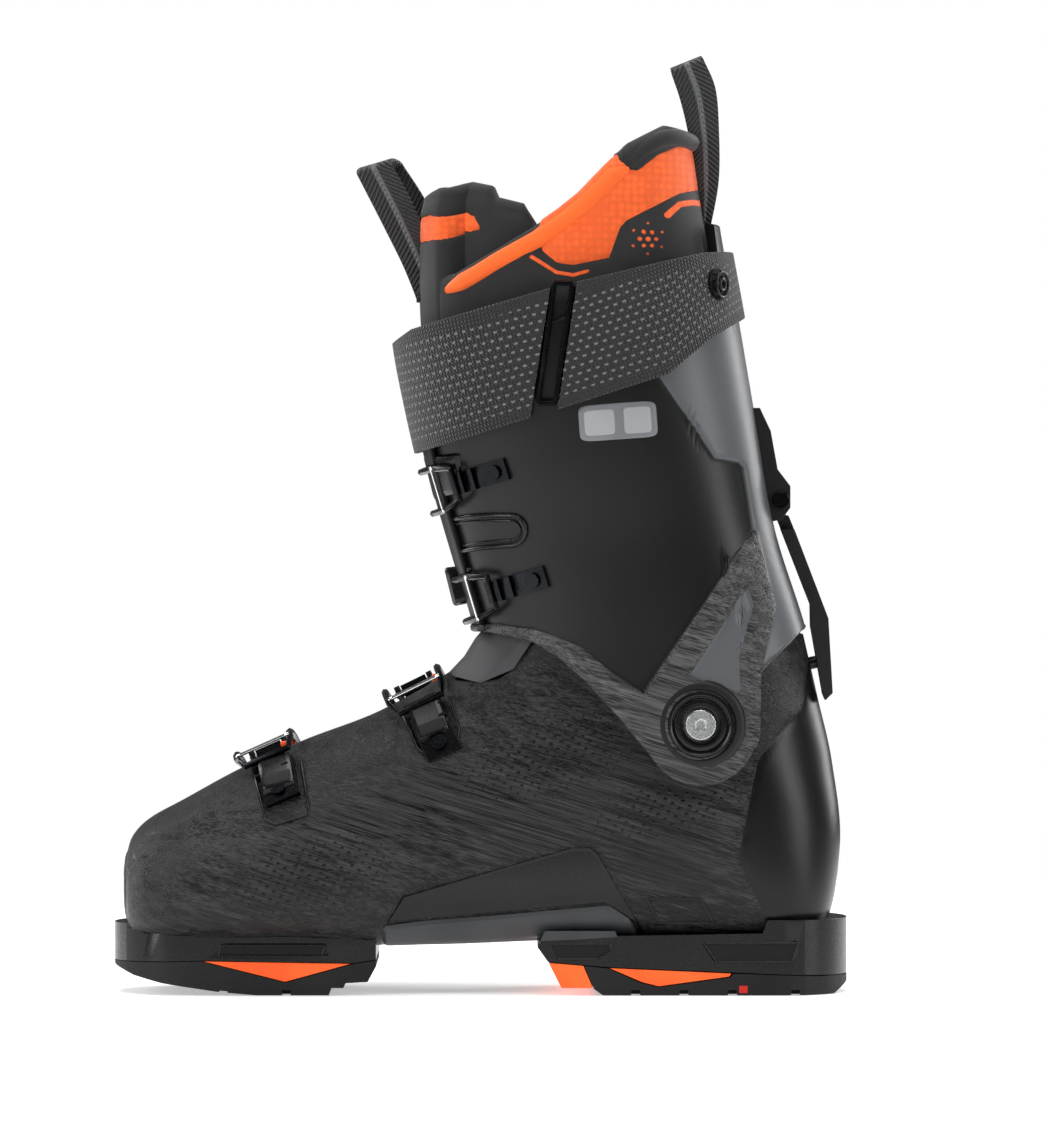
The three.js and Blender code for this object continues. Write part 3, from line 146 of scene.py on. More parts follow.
def share_of(rows, x, z):
    """The place and the height share of side-view points, from the section line that passes through each."""
    x, z = np.broadcast_arrays(np.asarray(x, float), np.asarray(z, float))
    steps = np.linspace(0, len(rows) - 1, 481)
    s = section(rows, steps)
    dx, dz = s[:, 2] - s[:, 0], s[:, 3] - s[:, 1]
    rx, rz = x[..., None] - s[:, 0], z[..., None] - s[:, 1]
    cross = dx * rz - dz * rx
    share = (rx * dx + rz * dz) / (dx**2 + dz**2)
    hit = (cross[..., :-1] * cross[..., 1:] <= 0) & (share[..., :-1] > -0.3) & (share[..., :-1] < 1.3)
    i = np.argmax(hit, -1)
    a = np.take_along_axis(cross, i[..., None], -1)[..., 0]
    b = np.take_along_axis(cross, i[..., None] + 1, -1)[..., 0]
    t = a / np.where(a == b, 1, a - b)
    place = steps[i] + t * (steps[1] - steps[0])
    s = section(rows, place)
    dx, dz = s[..., 2] - s[..., 0], s[..., 3] - s[..., 1]
    share = ((x - s[..., 0]) * dx + (z - s[..., 1]) * dz) / (dx**2 + dz**2)
    return place, share, s


def skin(rows, x, z, side, lift=0.0):
    """Points on a form's medial or lateral face over side-view points, moved out along the normal by lift."""
    def height(x, z):
        """The face's side-to-side place over a side-view place: a superellipse of the share across the section."""
        _, share, s = share_of(rows, x, z)
        mid = s[..., 9]
        rise = np.clip(np.where(share >= mid, (share - mid) / (1 - mid), (mid - share) / mid), 0, 0.9995)
        e = np.where(share >= mid, s[..., 8], s[..., 7])
        half = s[..., 5] if side > 0 else s[..., 4]
        return s[..., 6] + side * half * (1 - rise**e) ** (1 / e)

    y = height(x, z)
    slope_x, slope_z = (height(x + 0.4, z) - y) / 0.4, (height(x, z + 0.4) - y) / 0.4
    normal = np.stack([-slope_x * side, np.ones_like(y), -slope_z * side], -1) * (1, side, 1)
    normal /= np.linalg.norm(normal, axis=-1, keepdims=True)
    base = np.stack(np.broadcast_arrays(np.asarray(x, float), y, np.asarray(z, float)), -1)
    return base + normal * np.asarray(lift)[..., None], normal


# ---------- meshes from grids ----------
def quads(index):
    """The four-cornered faces of a grid of vertex numbers."""
    a, b, c, d = index[:-1, :-1], index[1:, :-1], index[1:, 1:], index[:-1, 1:]
    return np.stack([a, b, c, d], -1).reshape(-1, 4)


def piece(name, points, faces, material, body="shell", replaces=(), slot=None, values=None, uv=None,
    smooth=True, sharp=40):
    """A finished piece: points in millimetres, faces turned outwards, doubles merged, riding on its body."""
    points = np.asarray(points, float).reshape(-1, 3)
    data = bpy.data.meshes.new(name)
    data.from_pydata((points * MM).tolist(), [], [list(f) for f in faces.tolist()] if hasattr(faces,
        "tolist") else faces)
    for key, value in (values or {}).items():
        data.attributes.new(key, "FLOAT", "POINT").data.foreach_set("value",
            np.asarray(value, np.float32).ravel())
    if uv is not None:
        layer = data.uv_layers.new(name="UVMap")
        corner = np.zeros(len(data.loops), np.int32)
        data.loops.foreach_get("vertex_index", corner)
        layer.data.foreach_set("uv", np.asarray(uv, np.float32).reshape(-1, 2)[corner].ravel())
    work = bmesh.new()
    work.from_mesh(data)
    bmesh.ops.remove_doubles(work, verts=work.verts, dist=1e-6)
    bmesh.ops.dissolve_degenerate(work, edges=work.edges, dist=1e-7)
    if work.calc_volume(signed=True) < 0:
        bmesh.ops.reverse_faces(work, faces=work.faces)
    work.to_mesh(data)
    work.free()
    obj = bpy.data.objects.new(name, data)
    bpy.context.scene.collection.objects.link(obj)
    data.materials.append(material)
    if smooth:
        data.shade_smooth()
        if sharp:
            data.set_sharp_from_angle(angle=math.radians(sharp))
    if replaces:
        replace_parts(obj, *([replaces] if isinstance(replaces, str) else replaces))
    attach(obj, body)
    return obj


def walled(mid, thick, steps=4, bulge=0.5, values=None, uv=None):
    """A closed sheet about a middle surface given as a grid: the two faces are half the thickness off along the
    grid's normal, and every edge rolls over in a quarter-wave so that it is rounded. Returns points,
    faces, values, uv."""
    phi = np.arange(1, steps + 1) / steps * math.pi / 2
    du, dv = np.gradient(mid, axis=0), np.gradient(mid, axis=1)
    normal = np.cross(du, dv)
    normal /= np.maximum(np.linalg.norm(normal, axis=-1, keepdims=True), 1e-9)
    thick = np.broadcast_to(np.asarray(thick, float), mid.shape[:2]).copy()
    share = np.ones(mid.shape[:2])
    rest = [normal, thick[..., None]] + [np.asarray(v, float)[..., None] for v in (values or {}).values()]
    rest += [np.asarray(uv, float)] if uv is not None else []
    stack = np.concatenate([mid, *rest], -1)
    for axis in (0, 1):
        stack, share = np.moveaxis(stack, axis, 0), np.moveaxis(share, axis, 0)
        for end in (0, -1):
            edge, inner = stack[end], stack[1 if end == 0 else -2]
            out = edge[:, :3] - inner[:, :3]
            out /= np.maximum(np.linalg.norm(out, axis=-1, keepdims=True), 1e-9)
            extra = np.repeat(edge[None], steps, 0)
            extra[..., :3] += out * np.sin(phi)[:, None, None] * bulge * edge[None, :, 6:7] / 2
            fall = share[end][None] * np.cos(phi)[:, None]
            stack = np.concatenate([extra[::-1], stack] if end == 0 else [stack, extra])
            share = np.concatenate([fall[::-1], share] if end == 0 else [share, fall])
        stack, share = np.moveaxis(stack, 0, axis), np.moveaxis(share, 0, axis)
    share[np.abs(share) < 1e-6] = 0
    half = stack[..., 3:6] * (share * stack[..., 6] / 2)[..., None]
    front, back = stack[..., :3] + half, stack[..., :3] - half
    rows, cols = share.shape
    index = np.arange(rows * cols).reshape(rows, cols)
    points = np.concatenate([front.reshape(-1, 3), back.reshape(-1, 3)])
    faces = np.concatenate([quads(index), quads(index + rows * cols)[:, ::-1]])
    extras = {k: np.tile(stack[..., 7 + i].ravel(), 2) for i, k in enumerate(values or {})}
    flat = np.tile(stack[..., -2:].reshape(-1, 2), (2, 1)) if uv is not None else None
    return points, faces, extras, flat


def along(points, count, closed=False, smooth=True):
    """Evenly spaced points on a smooth Catmull-Rom curve, or on straight runs, through the given points."""
    p = np.asarray(points, float)
    if closed:
        p = np.concatenate([p, p[:1]])
    if smooth:
        t = np.linspace(0, len(p) - 1, 40 * len(p))
        i = np.minimum(t.astype(int), len(p) - 2)
        f = (t - i)[:, None]
        wrap = (lambda k: k % (len(p) - 1)) if closed else (lambda k: np.clip(k, 0, len(p) - 1))
        a, b, c, d = p[wrap(i - 1)], p[i], p[i + 1], p[wrap(i + 2)]
        p = b + 0.5 * f * (c - a + f * (2 * a - 5 * b + 4 * c - d + f * (3 * (b - c) + d - a)))
    s = np.concatenate([[0], np.cumsum(np.linalg.norm(np.diff(p, axis=0), axis=1))])
    want = np.linspace(0, s[-1], count + 1 if closed else count)
    made = np.stack([np.interp(want, s, p[:, k]) for k in range(p.shape[1])], -1)
    return made[:-1] if closed else made


def tube(path, radius, sides=14, closed=False, squash=1.0):
    """A round bar along a path: rings square to the path, their first direction carried along without twist."""
    p = np.asarray(path, float)
    n = len(p)
    ahead = np.roll(p, -1, 0) - np.roll(p, 1, 0) if closed else np.gradient(p, axis=0)
    ahead /= np.linalg.norm(ahead, axis=1, keepdims=True)
    guide = np.array((0.0, 1.0, 0.0)) if abs(ahead[:, 1]).max() < 0.9 else np.array((0.31, 0.2, 0.93))
    u = np.cross(ahead, guide)
    u /= np.linalg.norm(u, axis=1, keepdims=True)
    v = np.cross(ahead, u)
    a = np.linspace(0, 2 * math.pi, sides, endpoint=False)
    radius = np.broadcast_to(np.asarray(radius, float), (n,))
    rings = p[:, None] + (u[:, None] * np.cos(a)[:, None] + v[:, None] * (np.sin(a) * squash)[:,
        None]) * radius[:, None, None]
    index = np.arange(n * sides).reshape(n, sides)
    index = np.concatenate([index, index[:, :1]], 1)
    if closed:
        return rings.reshape(-1, 3), quads(np.concatenate([index, index[:1]]))
    points = np.concatenate([rings.reshape(-1, 3), p[:1], p[-1:]])
    faces = [list(f) for f in quads(index).tolist()]
    faces += [[index[0, k + 1], index[0, k], n * sides] for k in range(sides)]
    faces += [[index[-1, k], index[-1, k + 1], n * sides + 1] for k in range(sides)]
    return points, [[int(i) for i in f] for f in faces]


def distance_in(polygon, x, z):
    """Signed distance in the side view to a closed outline, positive inside."""
    p = np.asarray(polygon, float)
    q = np.roll(p, -1, 0)
    x, z = np.asarray(x, float)[..., None], np.asarray(z, float)[..., None]
    dx, dz = q[:, 0] - p[:, 0], q[:, 1] - p[:, 1]
    t = np.clip(((x - p[:, 0]) * dx + (z - p[:, 1]) * dz) / (dx**2 + dz**2), 0, 1)
    away = np.hypot(x - p[:, 0] - t * dx, z - p[:, 1] - t * dz).min(-1)
    crossing = ((p[:, 1] > z) != (q[:, 1] > z)) & (x < p[:, 0] + (z - p[:, 1]) * dx / np.where(dz == 0, 1e-9,
        dz))
    return np.where(crossing.sum(-1) % 2 == 1, away, -away)


def ease(value, low, high):
    """A smooth step from 0 at low to 1 at high."""
    t = np.clip((value - low) / (high - low), 0, 1)
    return t * t * (3 - 2 * t)


def softened(name, width, material, segments=2, angle=32, body=None):
    """A rounded copy of a CAD node: loose triangles merged, flat faces joined, then its edges bevelled."""
    source = frame["nodes"][name]
    data = source.data.copy()
    work = bmesh.new()
    work.from_mesh(data)
    bmesh.ops.remove_doubles(work, verts=work.verts, dist=2e-6)
    bmesh.ops.dissolve_limit(work, angle_limit=math.radians(2), verts=work.verts, edges=work.edges)
    work.to_mesh(data)
    work.free()
    data.materials.clear()
    data.materials.append(material)
    obj = bpy.data.objects.new(name + "_finish", data)
    bpy.context.scene.collection.objects.link(obj)
    bevel = obj.modifiers.new("edges", "BEVEL")
    bevel.width, bevel.segments, bevel.angle_limit = width * MM, segments, math.radians(angle)
    bevel.limit_method, bevel.harden_normals, bevel.use_clamp_overlap = "ANGLE", True, True
    data.shade_smooth()
    data.set_sharp_from_angle(angle=math.radians(30))
    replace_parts(obj, name)
    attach(obj, body or body_of[name])
    return obj


body_of = {n: o.parent.name.split(":")[-1] for n, o in frame["nodes"].items()}


# ---------- materials ----------
def shade(code):
    """An sRGB hex colour as linear RGBA."""
    c = np.array([int(code[i:i + 2], 16) for i in (1, 3, 5)]) / 255
    return (*np.where(c <= 0.04045, c / 12.92, ((c + 0.055) / 1.055) ** 2.4), 1.0)


def add(tree, kind, inputs=None, **settings):
    """One shader node with its settings, and its inputs given as values or as the sockets that feed them."""
    made = tree.nodes.new("ShaderNode" + kind)
    for key, value in settings.items():
        setattr(made, key, value)
    for key, value in (inputs or {}).items():
        if isinstance(value, bpy.types.NodeSocket):
            tree.links.new(value, made.inputs[key])
        else:
            made.inputs[key].default_value = value
    return made


def material(name, **inputs):
    """A material with its Principled shader, whose plain values are set here; returns both."""
    made = bpy.data.materials.new(name)
    made.use_nodes = True
    shader = next(n for n in made.node_tree.nodes if n.type == "BSDF_PRINCIPLED")
    for key, value in inputs.items():
        shader.inputs[key.replace("_", " ")].default_value = value
    return made, made.node_tree, shader


def spread(tree, scale, turn=(0, 0, 0), detail=3.0, source="Object", rough=0.55):
    """Noise read from the piece's own coordinates; scale is how many features there are to a metre each way."""
    place = add(tree, "TexCoord").outputs[source]
    turned = add(tree, "Mapping", {"Vector": place, "Rotation": turn, "Scale": (1, 1, 1)})
    sized = add(tree, "Mapping", {"Vector": turned.outputs[0], "Scale": scale})
    return add(tree, "TexNoise", {"Vector": sized.outputs[0], "Scale": 1.0, "Detail": detail,
        "Roughness": rough}).outputs["Fac"]


def between(tree, factor, low, high, out_low=0.0, out_high=1.0):
    """A value taken from one range to another, held at its ends."""
    return add(tree, "MapRange", {0: factor, 1: low, 2: high, 3: out_low, 4: out_high}).outputs[0]


def mixed(tree, factor, a, b):
    """Two colours mixed by a factor; each is a hex code or a socket."""
    pick = lambda c: shade(c) if isinstance(c, str) else c
    return add(tree, "Mix", {0: factor, 6: pick(a), 7: pick(b)}, data_type="RGBA").outputs[2]


def reckon(tree, how, a, b):
    """One arithmetic step between two sockets or numbers."""
    return add(tree, "Math", {0: a, 1: b}, operation=how).outputs[0]


def bumped(tree, shader, height, distance, strength=1.0):
    """Surface relief; distance is its depth in metres."""
    made = add(tree, "Bump", {"Height": height, "Distance": distance, "Strength": strength})
    tree.links.new(made.outputs[0], shader.inputs["Normal"])


def feed(tree, shader, **sockets):
    """Links node outputs to a shader's sockets by name, an underscore standing for a space."""
    for key, value in sockets.items():
        tree.links.new(value, shader.inputs[key.replace("_", " ")])


STREAK = (0, math.radians(-17), 0)  # the brushed grain rises towards the heel


def brushed_polyurethane(name, dark, light, deep="#111112"):
    """Moulded polyether polyurethane with a brushed grain cut in the mould: satin black, fine slanting
    scratches, painted lighter than the rest as a painted sheen for the light they catch.
    The grain is 0.5 mm wide and 30 mm long. Where the attribute 'plain' is above 0
    it is left smooth."""
    made, tree, shader = material(name, IOR=1.5, Specular_IOR_Level=0.26)
    fine = spread(tree, (35, 1500, 2100), STREAK, 4)
    broad = spread(tree, (12, 260, 330), STREAK, 3)
    cloud = spread(tree, (22, 22, 22), detail=2)
    plain = between(tree, add(tree, "Attribute", attribute_name="plain").outputs["Fac"], -0.4, 0.4)
    grain = reckon(tree, "MULTIPLY", between(tree, reckon(tree, "ADD", reckon(tree, "MULTIPLY", fine, 0.65),
        reckon(tree, "MULTIPLY", broad, 0.35)), 0.44, 0.64), reckon(tree, "SUBTRACT", 1.0, plain))
    # the streaks are painted lighter than the rest: a painted sheen for the light the brushed grain catches
    body = mixed(tree, grain, dark, light)
    body = mixed(tree, reckon(tree, "MULTIPLY", between(tree, cloud, 0.35, 0.7), 0.35), body, deep)
    feed(tree, shader, Base_Color=body, Roughness=between(tree, grain, 0, 1, 0.3, 0.42))
    grit = spread(tree, (2600, 2600, 2600), detail=2)
    bumped(tree, shader, reckon(tree, "ADD", reckon(tree, "MULTIPLY", grain, 1.0),
        reckon(tree, "MULTIPLY", grit, 0.12)), 0.0004, 0.9)
    return made


def satin_polymer(name, dark, light, rough=(0.4, 0.5), grit=2200, depth=0.00004, specular=0.3, coat=0.0):
    """Smooth injection-moulded plastic: even satin colour with a spark-eroded grit of about half a
    millimetre and slow
    changes of tone from handling."""
    made, tree, shader = material(name, IOR=1.49, Specular_IOR_Level=specular, Coat_Weight=coat,
        Coat_Roughness=0.15)
    cloud = spread(tree, (30, 30, 30), detail=3)
    fine = spread(tree, (grit, grit, grit), detail=2)
    feed(tree, shader, Base_Color=mixed(tree, between(tree, cloud, 0.35, 0.68), dark, light),
        Roughness=between(tree, fine, 0.3, 0.7, *rough))
    bumped(tree, shader, fine, depth, 0.8)
    return made


def machined_metal(name, dark, light, rough=(0.16, 0.3), grain=(200, 2600, 2600), depth=0.00002):
    """Bright or anodised metal: fine parallel polishing lines, a little uneven in gloss."""
    made, tree, shader = material(name, Metallic=1.0)
    lines = spread(tree, grain, detail=3)
    cloud = spread(tree, (120, 120, 120), detail=2)
    feed(tree, shader, Base_Color=mixed(tree, cloud, dark, light),
        Roughness=between(tree, lines, 0.3, 0.7, *rough))
    bumped(tree, shader, lines, depth, 0.5)
    return made


# the shell's lighter streak colour is a painted sheen on its brushed grain
shell_plastic = brushed_polyurethane("brushed_polyurethane_shell", "#060607", "#3e3e3f")
# moulded against a spark-eroded steel face: an even, dull black
matt_plastic = satin_polymer("spark_eroded_polyurethane", "#0f0f10", "#151516", (0.42, 0.55))
# moulded against polished steel: deep black with clear soft highlights
gloss_plastic = satin_polymer("polished_polyurethane", "#08080a", "#0e0e0f", (0.2, 0.3), 900, 0.00001)
# soft flap that gives over the instep: milky grey, no gloss
soft_plastic = satin_polymer("soft_grey_elastomer", "#3c3c3e", "#49494b", (0.5, 0.62))
# second colour moulded into the arch: dark grey, satin
grey_plastic = satin_polymer("grey_co_injected_polyurethane", "#2f3133", "#3a3c3e", (0.38, 0.5))
# hard sole block: glossy, with crisp highlights along its lip
sole_plastic = satin_polymer("glossy_sole_thermoplastic", "#0a0a0b", "#121213", (0.22, 0.34), 1400)
# rubber tread: dull, with a coarse grit
tread_rubber = satin_polymer("moulded_tread_rubber", "#0d0d0d", "#171717", (0.55, 0.72), 1500, 0.00009)
# bright insert between sole and tread
orange_plastic = satin_polymer("orange_thermoplastic_insert", "#f0521a", "#ff6a2a", (0.3, 0.42), 1600)
# board under the footbed, hidden in use
white_plastic = satin_polymer("grey_polymer_board", "#8b8b8d", "#9a9a9c", (0.5, 0.6))
# anodised levers, bases and ladders: dark metal with a soft sheen
black_alloy = machined_metal("black_anodised_aluminium", "#1c1d1f", "#2c2d30", (0.2, 0.32))
# polished cross bars and pins
bright_alloy = machined_metal("chromed_steel", "#d6d7d9", "#f2f2f2", (0.1, 0.2))
# small mark that shows wear of the tread
red_plastic = satin_polymer("red_wear_mark", "#b81f1a", "#c92a22", (0.35, 0.45), 1400)
# floor of a slot that no light reaches
shadow_plastic = satin_polymer("unlit_recess_polyurethane", "#030303", "#060606", (0.55, 0.7), 1400)
# plated screw heads
steel = machined_metal("zinc_plated_steel_screw", "#bdbfc0", "#dcdddd", (0.2, 0.34), (1500, 1500, 1500))
# powder-coated spring wire
coated_wire = satin_polymer("black_coated_steel_wire", "#101011", "#18181a", (0.22, 0.3), 1200, 0.00001)


def cuff_polymer():
    """The cuff: satin dark polyurethane, a grey co-injected spine where 'spine' is above 0, and a band with the
    shell's brushed grain where 'band' is above 0, painted a lighter grey: its grain is real, its lighter tone
    partly a painted sheen.
    Both attributes are distances in millimetres, so borders are crisp."""
    made, tree, shader = material("two_shot_polyurethane_cuff", IOR=1.5, Specular_IOR_Level=0.3)
    spine = between(tree, add(tree, "Attribute", attribute_name="spine").outputs["Fac"], -0.25, 0.25)
    band = between(tree, add(tree, "Attribute", attribute_name="band").outputs["Fac"], -0.25, 0.25)
    fine = spread(tree, (35, 1500, 2100), STREAK, 4)
    broad = spread(tree, (12, 260, 330), STREAK, 3)
    cloud = spread(tree, (16, 16, 16), detail=2)
    grit = spread(tree, (2400, 2400, 2400), detail=2)
    grain = between(tree, reckon(tree, "ADD", reckon(tree, "MULTIPLY", fine, 0.65),
        reckon(tree, "MULTIPLY", broad, 0.35)), 0.44, 0.64)
    body = mixed(tree, between(tree, cloud, 0.35, 0.7), "#0b0c0d", "#101112")
    body = mixed(tree, spine, body, mixed(tree, cloud, "#4c4e51", "#56585b"))
    # band: brushed grain in lighter greys, partly a painted sheen for the light the grain catches
    body = mixed(tree, band, body, mixed(tree, grain, "#1c1c1d", "#5c5c5d"))
    feed(tree, shader, Base_Color=body, Roughness=between(tree, grit, 0.3, 0.7, 0.32, 0.42))
    relief = reckon(tree, "ADD", reckon(tree, "MULTIPLY", reckon(tree, "MULTIPLY", grain, band), 0.00020),
        reckon(tree, "MULTIPLY", grit, 0.00003))
    bumped(tree, shader, relief, 1.0, 0.9)
    return made


def webbing_cloth(name, base, thread, dash=None, pitch=1.6, highlight_stripe=None):
    """Flat woven webbing: ribs across the band 1.6 mm apart, dashes of a paler yarn in staggered rows 3.5 mm
    apart. The piece's UV map is in metres, along and across the band; the 'rim' attribute holds the plain
    edge."""
    made, tree, shader = material(name, Roughness=0.78, IOR=1.53, Sheen_Weight=0.25, Sheen_Roughness=0.4)
    uv = add(tree, "SeparateXYZ", {0: add(tree, "TexCoord").outputs["UV"]})
    u, v = uv.outputs[0], uv.outputs[1]
    wave = lambda value, size, shift=0.0: add(tree, "Math", {0: reckon(tree, "ADD", reckon(tree, "MULTIPLY",
        value, 2 * math.pi / size), shift)}, operation="SINE").outputs[0]
    rib = wave(u, pitch * MM)
    cross = wave(v, pitch * MM * 1.1)
    weave = reckon(tree, "ADD", reckon(tree, "MULTIPLY", rib, cross), reckon(tree, "MULTIPLY", rib, 0.6))
    fuzz = spread(tree, (5200, 5200, 5200), detail=2)
    colour = mixed(tree, between(tree, reckon(tree, "ADD", weave, fuzz), -0.8, 1.9), base, thread)
    relief = reckon(tree, "ADD", weave, reckon(tree, "MULTIPLY", fuzz, 0.6))
    if dash:
        row = reckon(tree, "FLOOR", reckon(tree, "DIVIDE", v, 0.0035), 0)
        inside = wave(v, 0.0035, -math.pi / 2)
        length = wave(reckon(tree, "ADD", u, reckon(tree, "MULTIPLY", row, 0.00185)), 0.0037)
        rim = add(tree, "Attribute", attribute_name="rim").outputs["Fac"]
        mark = reckon(tree, "MULTIPLY", between(tree, inside, 0.45, 0.75), between(tree, length, 0.1, 0.5))
        mark = reckon(tree, "MULTIPLY", mark, between(tree, rim, 4.6, 5.2))
        colour = mixed(tree, reckon(tree, "MULTIPLY", mark, 0.85), colour, dash)
        relief = reckon(tree, "ADD", relief, reckon(tree, "MULTIPLY", mark, 1.2))
    # a pale line down the middle of the loop: a painted highlight for the light caught by its raised centre, which
    # the bump also raises
    if highlight_stripe:
        middle = add(tree, "Math", {0: add(tree, "Attribute", attribute_name="across").outputs["Fac"]},
            operation="ABSOLUTE").outputs[0]
        bone = wave(reckon(tree, "ADD", u, add(tree, "Math", {0: v}, operation="ABSOLUTE").outputs[0]), 0.0022)
        colour = mixed(tree, between(tree, bone, -0.2, 0.8), base, thread)
        line = reckon(tree, "MULTIPLY", between(tree, middle, 0.2, 0.12), 0.75)
        colour = mixed(tree, line, colour, highlight_stripe)
        relief = reckon(tree, "ADD", bone, reckon(tree, "MULTIPLY", line, 1.5))
    feed(tree, shader, Base_Color=colour)
    bumped(tree, shader, relief, 0.0004, 0.9)
    return made


def fabric(name, base, deep, cell=2.6, depth=0.0004, sheen=0.3, dark_cells=0.0):
    """Knitted liner cloth over foam: small cells about 2.6 mm apart, a soft sheen, and slow shading."""
    made, tree, shader = material(name, Roughness=0.8, IOR=1.5, Sheen_Weight=sheen, Sheen_Roughness=0.35)
    place = add(tree, "TexCoord").outputs["Object"]
    cells = add(tree, "TexVoronoi", {"Vector": place, "Scale": 1000 / cell,
        "Randomness": 0.25}).outputs["Distance"]
    cloud = spread(tree, (40, 40, 40), detail=2)
    knit = spread(tree, (3400, 3400, 3400), detail=2)
    tone = reckon(tree, "ADD", reckon(tree, "MULTIPLY", between(tree, cells, 0.15, 0.55), dark_cells),
        reckon(tree, "MULTIPLY", between(tree, cloud, 0.3, 0.75), 0.35))
    feed(tree, shader, Base_Color=mixed(tree, tone, base, deep))
    bumped(tree, shader, reckon(tree, "ADD", cells, reckon(tree, "MULTIPLY", knit, 0.5)), depth, 0.8)
    return made


cuff_plastic = cuff_polymer()
strap_cloth = webbing_cloth("woven_polyester_strap", "#060607", "#121213", "#77787a")
# the loop webbing's pale middle stripe is a painted highlight
loop_cloth = webbing_cloth("woven_polyester_loop", "#0f0f10", "#333436", highlight_stripe="#6c6e70")
orange_piping = fabric("orange_stretch_binding", "#ff6a1c", "#e2540f", 1.2, 0.00015, 0.35, 0.2)
black_cloth = fabric("black_liner_neoprene", "#101011", "#1b1b1c", 1.4, 0.0002, 0.3, 0.4)
black_binding = fabric("black_stretch_binding", "#0c0c0d", "#171718", 1.0, 0.00012, 0.35, 0.3)
grey_cloth = fabric("grey_liner_patch", "#47484a", "#36373a", 1.6, 0.0002, 0.2, 0.4)


# ---------- lower shell ----------
RIM_X = np.array([-200, -14.2, -10, 0, 8, 14, 20, 24, 30, 40, 90, 110, 122, 133, 200.0])
RIM_Z = np.array([400, 134, 129.6, 128.6, 130.5, 134.6, 142.5, 148, 154, 158, 165, 161, 154, 148.5, 140.0])


def rim_height(x):
    """Height of the shell's rim over a side-view place."""
    return np.interp(x, RIM_X, RIM_Z)


def even_places(rows, start, end, count, turn=math.pi, depth=0.35):
    """Places spaced evenly by the distance the form travels, so that no band of the grid is coarse."""
    t = np.linspace(start, end, 900)
    p = form(rows, t, turn + 0 * t)
    q = form(rows, t, turn + depth * math.pi + 0 * t)
    step = (np.linalg.norm(np.diff(p, axis=0), axis=1) + np.linalg.norm(np.diff(q, axis=0), axis=1)) / 2
    s = np.concatenate([[0], np.cumsum(step)])
    return np.interp(np.linspace(0, s[-1], count), s, t)


ARCH = [(-40, 27), (-32, 42), (39, 62.5), (46, 62), (49.5, 59), (72, 17), (40, 14), (-40, 14)]
HEEL_SMOOTH = [(133, 118), (116, 100), (113.5, 95), (107.5, 64), (106, 58), (118, 30), (118, 10), (170, 10),
    (170, 160), (140, 160)]


def shell_relief(p):
    """How far the shell's face moves in or out, from outlines in the side view: sunk buckle seats, a
    groove between
    them, a step down at the arch, and a shallow groove round the smooth patch at the back of the heel."""
    x, z = p[..., 0], p[..., 2]
    seat = lambda outline, deep: -deep * ease(distance_in(outline, x, z), -0.9, 0.9)
    toe_seat = [(-93.5, 92), (-88, 73), (-84, 71), (-71, 75), (-70.5, 78), (-74.5, 97.5), (-74, 104), (-90, 97)]
    instep_seat = [(-32, 113.5), (-25.4, 101), (-22.5, 99.4), (-9.4, 104.5), (-9, 108), (-14.3, 123.5),
        (-18, 127), (-33, 118)]
    relief = seat(toe_seat, 0.9) + seat(instep_seat, 0.9)
    groove = np.array([(-62.5, 96), (-62.3, 88.6), (-61, 87), (-37.5, 96.8), (-35.3, 98.9), (-35.6, 106)])
    a, b = groove[:-1], groove[1:]
    t = np.clip(((x[..., None] - a[:, 0]) * (b - a)[:, 0] + (z[..., None] - a[:, 1]) * (b - a)[:,
        1]) / ((b - a) ** 2).sum(1), 0, 1)
    near = np.hypot(x[..., None] - a[:, 0] - t * (b - a)[:, 0],
        z[..., None] - a[:, 1] - t * (b - a)[:, 1]).min(-1)
    relief = relief - 0.8 * (1 - ease(near, 0.4, 2.0))
    relief = relief - 1.4 * ease(distance_in(ARCH, x, z), -1.0, 1.0)
    line = np.abs(distance_in(HEEL_SMOOTH, x, z))
    return relief - 0.5 * (1 - ease(line, 0.2, 1.8))


